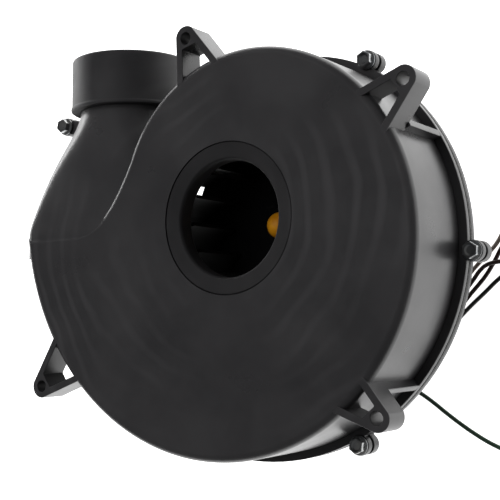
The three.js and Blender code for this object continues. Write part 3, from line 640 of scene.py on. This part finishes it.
def scrollOutline(offset, steps=132):
    points = [onScroll(scroll["sweep"] * i / steps, offset) for i in range(steps + 1)]
    shift = offset * math.sqrt(0.5)
    start = points[0]
    corner = Vector((scroll["mouthX"] - shift, scroll["mouthY"] + shift))
    points.append(corner)
    pullA = corner + Vector((scroll["pullOut"], 0))
    pullB = Vector((scroll["pullIn"][0] - shift, scroll["pullIn"][1] + shift))
    for i in range(1, 20):
        s = i / 20
        left = 1 - s
        points.append(corner * left ** 3 + pullA * 3 * s * left ** 2 + pullB * 3 * s * s * left
                      + start * s ** 3)
    return [(point.x, point.y) for point in points]


def squared(value, power):
    return math.copysign(abs(value) ** power, value) if abs(value) > 1e-6 else 0.0


def shoulder(share, bend=0.12):
    # straight up at first, then a steady slope
    raw = share ** 2 / (2 * bend) if share < bend else share - bend / 2
    return raw / (1 - bend / 2)


def ductPiece(name, inset, around=128, along=36):
    # a tube from the scroll's mouth, a rounded rectangle that turns into the round neck
    clearSelection()
    bpy.ops.mesh.primitive_grid_add(x_subdivisions=around, y_subdivisions=along, size=2)
    piece = nameIt(name)
    startY = scroll["mouthY"] - 12
    for vert in piece.data.vertices:
        angle = (vert.co.x + 1) * math.pi
        y = mixUp(startY, neck["startY"] + 0.5, (vert.co.y + 1) / 2)
        share = min(max((y - scroll["mouthY"]) / (neck["startY"] - scroll["mouthY"]), 0), 1)
        left = mixUp(onScroll(scroll["sweep"]).x, neck["x"] - neck["radius"], shoulder(share)) + inset
        right = mixUp(neck["ductRight"], neck["x"] + neck["radius"], share) - inset
        halfDepth = mixUp(scroll["depth"] / 2 - 0.2, neck["radius"], share) - inset
        power = 2 / (2 + 14 * (1 - share) ** 2)
        x = (left + right) / 2 + squared(math.cos(angle), power) * (right - left) / 2
        z = axisHeight + squared(math.sin(angle), power) * halfDepth
        vert.co = Vector((x, y, z)) * mm
    bpy.ops.object.mode_set(mode="EDIT")
    bpy.ops.mesh.select_all(action="SELECT")
    bpy.ops.mesh.remove_doubles(threshold=1e-6)
    for edgeY in (startY, neck["startY"] + 0.5):
        selectWhere(piece, lambda at, edgeY=edgeY: abs(at.y - edgeY) < 0.01)
        bpy.ops.mesh.edge_face_add()
    bpy.ops.mesh.select_all(action="SELECT")
    bpy.ops.mesh.normals_make_consistent(inside=False)
    bpy.ops.object.mode_set(mode="OBJECT")
    return piece


def outletRod(name, radius, startY, endY, sides=96):
    clearSelection()
    bpy.ops.mesh.primitive_cylinder_add(vertices=sides, radius=radius * mm, depth=(endY - startY) * mm,
                                        location=(neck["x"] * mm, (startY + endY) / 2 * mm, axisHeight * mm),
                                        rotation=(math.pi / 2, 0, 0))
    return applyPlace(nameIt(name))


def casingSolid(name, inset):
    roundness = scroll["round"] - inset
    body = prismPiece(name, scrollOutline(-inset), level(scroll["depth"] - inset), level(inset),
                      roundness, roundness, 6)
    combine(body, ductPiece("duct", inset))
    combine(body, outletRod("neck", neck["radius"] - inset, neck["startY"],
                            neck["endY"] + (2 if inset else 0)))
    return body


bossPlaces = [(onScroll(turn, bossForm["reach"]), onScroll(turn, -1), bossForm["top"]) for turn in
              (95.5, 161.2, 218.9, 272, 322)]
ductBoss = Vector((neck["x"] - neck["radius"] - 12.1, neck["startY"] - 2))
bossPlaces.append((ductBoss, ductBoss + Vector((17, -3)), bossForm["ductTop"]))
lugs = [{"turn": 46.7, "reach": 14.9, "feet": (39.2, 57.2)},
        {"turn": 121.4, "reach": 15.2, "feet": (116.2, 130.3), "rib": 128.6},
        {"turn": 200.9, "reach": 12.2, "feet": (208.6, 198.1), "rib": 198.4},
        {"turn": 297.3, "reach": 18.1, "feet": (292.3, 304.3)}]


def flangePiece(name, top, bottom):
    firstTurn, steps = 23, 110
    edgeY = collarForm["startY"] - gap - 0.4
    outline = [(onScroll(firstTurn, joint["width"]).x, edgeY)]
    for i in range(1, steps + 1):
        point = onScroll(mixUp(firstTurn, scroll["sweep"], i / steps), joint["width"])
        outline.append((point.x, point.y))
    outline.append((neck["x"] - neck["radius"] - joint["width"], edgeY))
    rim = 0.5 if bottom - top > 2 else 0.0
    piece = prismPiece(name, outline, level(bottom), level(top), rim, rim, 2)
    room = outletRod("room", collarForm["radius"] + gap, collarForm["startY"] - gap, neck["endY"] + 10)
    return combine(piece, room, "DIFFERENCE")


def bossPieces(bottom, sharedTop=None):
    pieces = []
    for centre, foot, top in bossPlaces:
        high = level(sharedTop or top)
        pieces.append(rodPiece("boss", bossForm["radius"], level(bottom), high, centre.x, centre.y, 40, 0.5))
        pieces.append(barPiece("bossWeb", centre, foot, 1.6 * bossForm["radius"], level(bottom), high - 0.6))
    return pieces


def lugPiece(lug):
    # a strap bent round the screw hole, with a web across it and an open window at its root
    centre = onScroll(lug["turn"], lug["reach"])
    tip, leg, hole = lugForm["tip"], lugForm["leg"], lugForm["hole"]
    high, low = level(0), level(lugForm["depth"])
    out = centre.normalized()
    across = Vector((-out.y, out.x))
    sides = []
    for footTurn in lug["feet"]:
        foot = onScroll(footTurn, -scroll["round"])
        along = (centre - foot).normalized()
        aside = Vector((-along.y, along.x))
        aside *= math.copysign(1, aside.dot(across)) * math.copysign(1, (foot - centre).dot(across))
        sides.append((foot, aside))
    sides.sort(key=lambda side: side[1].dot(across))
    (footA, asideA), (footB, asideB) = sides
    startAngle = math.atan2(asideA.dot(out), asideA.dot(across))
    endAngle = math.atan2(asideB.dot(out), asideB.dot(across))
    if startAngle < endAngle:
        startAngle += 2 * math.pi
    outline = [footA + asideA * leg / 2]
    for i in range(17):
        angle = mixUp(startAngle, endAngle, i / 16)
        outline.append(centre + (across * math.cos(angle) + out * math.sin(angle)) * tip)
    outline.append(footB + asideB * leg / 2)
    strap = prismPiece("lugStrap", [(at.x, at.y) for at in outline], low, high)

    window = []
    for foot, aside in sides:
        near = foot - aside * leg / 2
        far = centre + aside * (tip - leg)
        wanted = hole + lugForm["web"]
        share = ((near - centre).dot(-out) - wanted) / (near - far).dot(-out)
        window.append((near - (far - near) * 0.3, near + (far - near) * share))
    corners = [window[0][0], window[0][1], window[1][1], window[1][0]]
    opening = prismPiece("lugWindow", [(at.x, at.y) for at in corners], low - 1, high + 1)
    combine(strap, opening, "DIFFERENCE")
    eye = []
    for i in range(36):
        angle = 2 * math.pi * i / 36
        stretch = 1.2 if math.sin(angle) < 0 else 1.0
        at = centre + across * hole * 1.06 * math.cos(angle) + out * hole * stretch * math.sin(angle)
        eye.append((at.x, at.y))
    combine(strap, prismPiece("lugEye", eye, low - 1, high + 1), "DIFFERENCE")
    return softEdges(strap, 0.4, 2, 50)


def boreAt(centre, radius, low, high, sides=32):
    return rodPiece("bore", radius, low, high, centre.x, centre.y, sides)


casingOuter = casingSolid("casingOuter", 0.0)
casingInner = casingSolid("casingInner", scroll["wall"])
shell = copyPiece(casingOuter, "shell")
combine(shell, copyPiece(casingInner, "inside"), "DIFFERENCE")
print("casing formed")

frontBottom = joint["front"] + joint["thickness"]
rearTop = frontBottom + joint["gasket"] + 2 * gap
ringForm = {"radius": 33.7, "flange": 2.4, "lip": 29.7, "depth": 10.5, "eye": 26.0}


def modelFrontHousing():
    body = copyPiece(shell, "frontHousingShell")
    combine(body, boxPiece("keep", (-300, -300, level(frontBottom)), (300, 300, level(-5))), "INTERSECT")
    extras = flangePiece("extras", joint["front"], frontBottom)
    for piece in bossPieces(frontBottom):
        combine(extras, piece)
    for lug in lugs:
        combine(extras, lugPiece(lug))
        if "rib" in lug:
            combine(extras, barPiece("rib", onScroll(lug["rib"], -1),
                                     onScroll(lug["rib"], joint["width"] - 0.1), lugForm["rib"],
                                     level(joint["front"] + 1), level(lugForm["depth"] - 1)))
    combine(extras, copyPiece(casingInner, "inside"), "DIFFERENCE")
    combine(body, extras)
    combine(body, rodPiece("seat", ringForm["radius"] + 4, level(6), level(1), sides=96))
    combine(body, rodPiece("recess", ringForm["radius"] + gap, level(ringForm["flange"] + gap), level(-5),
                           sides=128),
            "DIFFERENCE")
    combine(body, rodPiece("throat", ringForm["lip"] + gap, level(8), level(-5), sides=128), "DIFFERENCE")
    for centre, _, top in bossPlaces:
        combine(body, boreAt(centre, bossForm["screw"] + gap, level(frontBottom + 1), level(top - 1)),
                "DIFFERENCE")
    return body


standoffForm = {"circle": 33.0, "angles": (30, 150, 270), "radius": 4.5, "foot": 62.0, "end": 74.6}
shaftForm = {"radius": 3.97, "top": 44.0}
standoffPlaces = [Vector(polar(standoffForm["circle"], angle)) for angle in standoffForm["angles"]]


def modelRearHousing():
    body = copyPiece(shell, "rearHousingShell")
    combine(body, boxPiece("keep", (-300, -300, level(scroll["depth"] + 5)), (300, 300, level(rearTop))),
            "INTERSECT")
    extras = flangePiece("extras", rearTop, rearTop + joint["thickness"])
    for piece in bossPieces(bossForm["socket"], rearTop):
        combine(extras, piece)
    combine(extras, copyPiece(casingInner, "inside"), "DIFFERENCE")
    combine(body, extras)
    depth = scroll["depth"]
    for at in standoffPlaces:
        combine(body, rodPiece("pad", standoffForm["radius"] + 1.5, level(depth + 2), level(depth - 1), at.x,
                               at.y, 48, 0.4))
        combine(body, boreAt(at, bossForm["screw"] + gap, level(depth + 3), level(depth - 4)), "DIFFERENCE")
    combine(body, rodPiece("shaftBore", shaftForm["radius"] + 3.2, level(depth + 1), level(depth - 4),
                           sides=48), "DIFFERENCE")
    for centre, _, _ in bossPlaces:
        combine(body, boreAt(centre, bossForm["screw"] + gap, level(bossForm["socket"] + 1),
                             level(rearTop - 1)),
                "DIFFERENCE")
    return body


def modelGasket():
    top = frontBottom + gap
    bottom = top + joint["gasket"]
    sheet = flangePiece("gasketSheet", top, bottom)
    rim = copyPiece(casingOuter, "rim")
    combine(rim, boxPiece("keep", (-300, -300, level(bottom)), (300, 300, level(top))), "INTERSECT")
    combine(sheet, rim)
    combine(sheet, copyPiece(casingInner, "inside"), "DIFFERENCE")
    for centre, _, _ in bossPlaces:
        combine(sheet, boreAt(centre, bossForm["screw"] + gap, level(bottom + 1), level(top - 1)),
                "DIFFERENCE")
    return sheet


settle(modelFrontHousing(), blackPlastic, ["front_housing"], angle=28)
settle(modelRearHousing(), blackPlastic, ["rear_housing"], angle=28)
settle(modelGasket(), foam, ["housing_gasket"])
for spare in (casingOuter, casingInner, shell):
    bpy.data.objects.remove(spare)
print("housing halves and gasket")


def modelCollar(form):
    inner = neck["radius"] + gap
    low, high, radius = form["startY"], form["startY"] + form["length"], form["radius"]
    profile = [(inner, low), (radius - 0.2, low), (radius + 0.3, low + 0.35), (radius + 0.5, low + 1),
               (radius + 0.35, low + 1.7), (radius, low + 2.4), (radius, high - 1.2),
               (radius - 0.35, high - 0.4), (radius - 1, high), (inner + 0.4, high), (inner, high - 0.4)]
    return turnPiece("collarSleeve", profile, 112, (neck["x"], 0, axisHeight), "Y")


def modelInletRing(form):
    top = level(0.2)
    profile = [(form["radius"], top - 0.35), (form["radius"], level(form["flange"])),
               (form["lip"], level(form["flange"])), (form["lip"], level(form["depth"])),
               (27.5, level(form["depth"])), (26.4, level(9.6)), (form["eye"], level(8.5)),
               (form["eye"], level(3.2)), (26.15, level(2.1)), (26.6, level(1.3)), (27.2, level(0.95)),
               (form["radius"] - 0.4, top)]
    return turnPiece("inletRingBezel", profile, 112)


settle(modelCollar(collarForm), collarPlastic, ["outlet_collar"])
settle(modelInletRing(ringForm), ringPlastic, ["inlet_ring"])

# housing screws
screwForm = {"washer": 4.4, "flats": 6.35, "height": 3.6, "dish": 2.45, "dishDepth": 1.1}


def modelScrew(name, shankLength):
    acrossCorners = screwForm["flats"] / 2 / math.cos(math.pi / 6)
    head = rodPiece(name, acrossCorners, 0.6, screwForm["height"], sides=6)
    softEdges(head, 0.3, 3, 25)
    dish = turnPiece("dish", [(0, screwForm["height"] - screwForm["dishDepth"]),
                              (1.7, screwForm["height"] - 1.05),
                              (screwForm["dish"], screwForm["height"] - 0.5), (screwForm["dish"] + 0.25, 5),
                              (0, 5)], 40)
    flangeProfile = [(0, 0), (screwForm["washer"] - 0.1, 0), (screwForm["washer"], 0.25),
                     (screwForm["washer"], 0.6), (screwForm["washer"] - 0.35, 0.9), (3.4, 1.15), (0, 1.2)]
    threads = [(0, 0.3), (bossForm["screw"], 0.3)]
    for i in range(int(shankLength / 1.4)):
        base = -1.0 - 1.4 * i
        threads += [(bossForm["screw"] - 0.45, base), (bossForm["screw"], base - 0.55),
                    (bossForm["screw"] - 0.45, base - 1.1)]
    threads += [(0.6, -shankLength), (0, -shankLength)]
    combine(head, turnPiece("washerFace", flangeProfile, 48))
    combine(head, turnPiece("shank", threads, 20))
    return combine(head, dish, "DIFFERENCE")


shortScrew = modelScrew("shortScrew", bossForm["socket"] - bossForm["top"] - 1)
longScrew = modelScrew("longScrew", bossForm["socket"] - bossForm["ductTop"] - 1)
for i, (centre, _, top) in enumerate(bossPlaces):
    source = shortScrew if top == bossForm["top"] else longScrew
    screw = copyPiece(source, f"hexScrew_{i + 1}", (centre.x, centre.y, level(top) + gap), 57.3 * i)
    settle(screw, zinc, [f"housing_screw_{i + 1}"], angle=30)
bpy.data.objects.remove(shortScrew)
bpy.data.objects.remove(longScrew)
print("screws")

# pieces that turn with the shaft
wheel = {"radius": 54.0, "front": 14.0, "back": 52.5, "plate": 2.5, "eye": 29.0, "blades": 14, "blade": 1.6,
         "hub": 11.0, "sweep": 26}


def bladeOutline():
    sides = []
    for offset in (-wheel["blade"] / 2, wheel["blade"] / 2):
        side = []
        for i in range(9):
            share = i / 8
            radius = mixUp(wheel["eye"], wheel["radius"] - 0.5, share)
            side.append(polar(radius, wheel["sweep"] * share ** 1.4 + math.degrees(offset / radius)))
        sides.append(side)
    return sides[0] + sides[1][::-1]


def modelImpeller():
    back, front = level(wheel["back"]), level(wheel["front"])
    bore = shaftForm["radius"] + gap
    profile = [(bore, back - 2.5), (wheel["hub"] - 0.6, back - 2.5), (wheel["hub"], back - 1.9),
               (wheel["hub"], back), (wheel["radius"] - 0.4, back), (wheel["radius"], back + 0.4),
               (wheel["radius"], back + wheel["plate"] - 0.4), (wheel["radius"] - 0.4, back + wheel["plate"]),
               (wheel["hub"] + 2, back + wheel["plate"]), (wheel["hub"] + 0.6, back + wheel["plate"] + 0.5),
               (wheel["hub"], back + 3.6), (wheel["hub"] - 0.6, back + 4.2), (bore, back + 4.2)]
    body = turnPiece("impellerWheel", profile, 96)
    rim = turnPiece("rim", [(wheel["radius"] - 8, front - 1.8), (wheel["radius"] - 0.3, front - 1.8),
                            (wheel["radius"], front - 1.5), (wheel["radius"], front - 0.3),
                            (wheel["radius"] - 0.3, front), (wheel["radius"] - 7.7, front),
                            (wheel["radius"] - 8, front - 0.3)], 96)
    blade = prismPiece("blade", bladeOutline(), back + 1, front - 1)
    for i in range(wheel["blades"]):
        combine(body, copyPiece(blade, "bladeCopy", turn=360 * i / wheel["blades"]))
    bpy.data.objects.remove(blade)
    return combine(body, rim)


capForm = {"base": 48, "radius": 6.35}


def modelHubCap():
    base, radius = level(capForm["base"]), capForm["radius"]
    shoulder, bore = base + 3.5, shaftForm["radius"] + gap
    top = level(shaftForm["top"]) + 0.5
    dome = [(radius * math.cos(bend), shoulder + radius * math.sin(bend)) for bend in
            [math.pi / 2 * i / 12 for i in range(13)]]
    dome[-1] = (0, dome[-1][1])
    profile = [(bore, base), (radius - 0.2, base), (radius, base + 0.2)] + dome + [(0, top), (bore, top)]
    return turnPiece("hubCapDome", profile, 48)


def modelShaft():
    low, high, radius = 3.2, level(shaftForm["top"]), shaftForm["radius"]
    return turnPiece("shaftRod", [(0, low), (radius - 0.5, low), (radius, low + 0.5), (radius, high - 0.5),
                                  (radius - 0.5, high), (0, high)], 48)


coolingForm = {"back": 71, "front": 64.5, "radius": 26.0, "vanes": 6, "vane": 1.4}


def modelCoolingFan():
    low, high = level(coolingForm["back"]), level(coolingForm["front"])
    reach, bore = coolingForm["radius"], shaftForm["radius"] + gap
    body = turnPiece("coolingFanDisc", [(bore, low), (reach - 0.3, low), (reach, low + 0.3),
                                        (reach, low + 1.1), (reach - 0.3, low + 1.4), (9.5, low + 1.4),
                                        (9.5, high - 0.4), (9.1, high), (bore, high)], 72)
    for i in range(coolingForm["vanes"]):
        turn = 360 / coolingForm["vanes"] * i
        vane = barPiece("vane", polar(9, turn), polar(reach - 0.5, turn), coolingForm["vane"],
                        low + 1, high, 0.3)
        combine(body, vane)
    return body


settle(modelImpeller(), shadeDarkenedPlastic, ["impeller"], "rotor", 28)
settle(modelHubCap(), yellow, ["hub_cap"], "rotor")
settle(modelShaft(), steel, ["motor_shaft"], "rotor")
settle(modelCoolingFan(), shadeDarkenedPlastic, ["cooling_fan"], "rotor")
print("rotor")

# motor
motor = {"radius": 41.0, "front": 74.6, "core": 97.3, "length": 30.0, "bolts": 37.0, "cup": 32.0, "wall": 2.2,
         "bearing": 8.47, "bearingLength": 9.0, "rotor": 24.0}
boltPlaces = [Vector(polar(motor["bolts"], angle)) for angle in (45, 135, 225, 315)]
rearRim = level(motor["core"] + motor["length"] + gap)


def modelFrontBell():
    face, rim = level(motor["front"]), level(motor["core"] - gap)
    pocket, radius, wall = motor["bearing"] + gap, motor["radius"], motor["wall"]
    profile = [(shaftForm["radius"] + 2, face), (radius - 3, face), (radius - 1.5, face - 0.4),
               (radius - 0.4, face - 1.5), (radius, face - 3), (radius, rim), (motor["bolts"] - 3.4, rim),
               (motor["bolts"] - 3.4, rim + 6), (radius - wall, rim + 7), (radius - wall, face - 4),
               (radius - wall - 2, face - wall), (pocket + 3, face - wall),
               (pocket + 3, face - motor["bearingLength"] - 2), (pocket, face - motor["bearingLength"] - 2),
               (pocket, face - wall), (shaftForm["radius"] + 2, face - wall)]
    body = turnPiece("frontBellCup", profile, 72)
    for angle in (0, 90, 180, 270):
        combine(body, barPiece("vent", polar(17, angle), polar(27, angle), 4.5, face - 5, face + 1, 1.2),
                "DIFFERENCE")
    for at in standoffPlaces:
        combine(body, boreAt(at, bossForm["screw"] + gap, face - 6, face + 1), "DIFFERENCE")
    for at in boltPlaces:
        combine(body, boreAt(at, bossForm["screw"], rim - 1, rim + 5), "DIFFERENCE")
    return body


grommetForm = {"angle": -75.0, "height": 9.0, "start": 27.5}


def modelRearBell():
    rim, cup, wall, radius = rearRim, motor["cup"], motor["wall"], motor["radius"]
    pocket = motor["bearing"] + gap
    profile = [(0, 0), (12, 0), (13, 0.2), (14, 0.8), (cup - 6, 0.8), (cup - 5, 0), (cup - 2.4, 0),
               (cup - 1, 0.5), (cup, 2), (cup, rim - 4.5), (cup + 0.5, rim - 4), (radius, rim - 4),
               (radius, rim), (cup - wall, rim), (cup - wall, wall + 0.8), (pocket + 3, wall + 0.8),
               (pocket + 3, motor["bearingLength"] + 3), (pocket, motor["bearingLength"] + 3), (pocket, wall),
               (0, wall)]
    body = turnPiece("rearBellCup", profile, 72)
    for angle in (20, 90, 160, 220):
        combine(body, barPiece("vent", polar(cup - 6, angle), polar(cup + 3, angle), 5, 6, rim - 7, 1.2),
                "DIFFERENCE")
    for at in boltPlaces + [Vector((0, -motor["bolts"]))]:
        combine(body, boreAt(at, bossForm["screw"] + gap, rim - 5, rim + 1), "DIFFERENCE")
    hole = turnPiece("hole", [(0, -8), (4.7, -8), (4.7, 6), (0, 6)], 40, (0, 0, 0), "X")
    x, y = polar(cup - 3, grommetForm["angle"])
    hole.rotation_euler = (0, 0, math.radians(grommetForm["angle"]))
    hole.location = (x * mm, y * mm, grommetForm["height"] * mm)
    return combine(body, applyPlace(hole), "DIFFERENCE")


def modelGrommet():
    profile = [(3.4, 0.3), (3.7, 0), (4.9, 0), (5.2, 0.3), (5.2, 1.5), (4.4, 1.5), (4.4, 4.85), (5.5, 4.85),
               (5.6, 5.1), (5.5, 5.9), (4.9, 6.6), (4.2, 7.2), (3.6, 7.2), (3.4, 7.0)]
    piece = turnPiece("grommetRing", profile, 40, (0, 0, 0), "X")
    x, y = polar(grommetForm["start"], grommetForm["angle"])
    piece.rotation_euler = (0, 0, math.radians(grommetForm["angle"]))
    piece.location = (x * mm, y * mm, grommetForm["height"] * mm)
    return applyPlace(piece)


def modelCore():
    low, high, radius = level(motor["core"] + motor["length"]), level(motor["core"]), motor["radius"]
    inner = motor["rotor"] + 0.4
    profile = [(inner, low), (radius, low)]
    for i in range(10):  # the stack's outer edge shows as grooves between groups of sheets
        base = mixUp(low, high, (i + 1) / 11)
        profile += [(radius, base - 0.25), (radius - 0.3, base), (radius, base + 0.25)]
    profile += [(radius, high), (inner, high)]
    body = turnPiece("statorStack", profile, 80)
    for at in boltPlaces:
        combine(body, boreAt(at, bossForm["screw"], low - 1, high + 1), "DIFFERENCE")
    return body


def modelStandoff():
    low, high = level(standoffForm["end"] - gap), level(standoffForm["foot"] + gap)
    inner, outer = bossForm["screw"] + gap, standoffForm["radius"]
    return turnPiece("standoffModel", [(inner, low), (outer - 0.4, low), (outer, low + 0.4),
                                       (outer, high - 0.4), (outer - 0.4, high), (inner, high)], 40)


def modelSeal():
    bore, depth = shaftForm["radius"] + gap, scroll["depth"]
    low, seat, top = level(depth + 1.8), level(depth + gap), level(depth - 2.2)
    return turnPiece("sealRing", [(bore, low), (9.6, low), (10, low + 0.4), (10, seat),
                                  (shaftForm["radius"] + 2.8, seat), (shaftForm["radius"] + 2.8, top),
                                  (bore, top)], 48)


settle(modelFrontBell(), galvanised, ["front_end_bell"], angle=28)
settle(modelRearBell(), galvanised, ["rear_end_bell"], angle=28)
settle(modelCore(), sheets, ["stator_core"], angle=20)
settle(modelGrommet(), rubber, ["lead_grommet"])
settle(modelSeal(), rubber, ["shaft_seal"])
standoffModel = modelStandoff()
for i, at in enumerate(standoffPlaces):
    settle(copyPiece(standoffModel, f"standoffSpacer_{i + 1}", (at.x, at.y, 0)), galvanised,
           [f"motor_standoff_{i + 1}"])
bpy.data.objects.remove(standoffModel)
print("motor")

# the CAD pieces that stay get their finish
keptFinishes = {
    "motor_mount_screw_1": zinc, "motor_mount_screw_2": zinc, "motor_mount_screw_3": zinc,
    "through_bolt_1": zinc, "through_bolt_2": zinc, "through_bolt_3": zinc, "through_bolt_4": zinc,
    "ground_screw": zinc, "ground_terminal": tinned, "front_winding": windings, "rear_winding": windings,
    "front_bearing": bronze, "rear_bearing": bronze, "rotor_core": sheets,
    "front_thrust_washer": steel, "rear_thrust_washer": steel,
}
for nodeName, material in keptFinishes.items():
    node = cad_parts[nodeName]
    for slotIndex in range(max(len(node.material_slots), 1)):
        if not node.material_slots:
            node.data.materials.append(material)
        node.material_slots[slotIndex].material = material

# floor and light
stageForm = {"size": 6.0, "world": 0.12, "glow": 1.25}


def makeFloor():
    clearSelection()
    bpy.ops.mesh.primitive_plane_add(size=stageForm["size"], location=(0, 0, 0))
    floor = nameIt("paleFloor")
    material, kit = startMaterial("paleTable", 0.85)
    tone = spread(kit, noise(kit, 3, 2), 0.3, 0.7)
    paint(kit, blendColours(kit, tone, (0.88, 0.88, 0.88), (0.9, 0.9, 0.895)))
    # the table glows, which is what brightens the housing's sides
    kit["shader"].inputs["Emission Color"].default_value = (1, 1, 1, 1)
    kit["shader"].inputs["Emission Strength"].default_value = stageForm["glow"]
    floor.data.materials.append(material)


def addLight(name, place, target, size, power, mirrored):
    bpy.ops.object.light_add(type="AREA", location=place)
    lamp = bpy.context.object
    lamp.name = name
    lamp.data.shape = "RECTANGLE"
    lamp.data.size, lamp.data.size_y = size
    lamp.data.energy = power
    lamp.visible_glossy = mirrored
    lamp.rotation_euler = (Vector(target) - Vector(place)).to_track_quat("-Z", "Y").to_euler()


makeFloor()
world = bpy.data.worlds.new("softRoom")
world.use_nodes = True
world.node_tree.nodes["Background"].inputs["Color"].default_value = (1, 1, 1, 1)
world.node_tree.nodes["Background"].inputs["Strength"].default_value = stageForm["world"]
bpy.context.scene.world = world
# the overhead panel is not reflected in the pieces, the low strip is
addLight("overheadPanel", (-0.35, 0.45, 1.6), (0, 0, 0), (1.6, 1.6), 30, False)
addLight("lowStrip", (-1.8, 0.84, 0.2), (0, 0, 0.1), (1.8, 0.3), 14, True)
bpy.context.scene.view_settings.view_transform = "Standard"
print("floor and light")
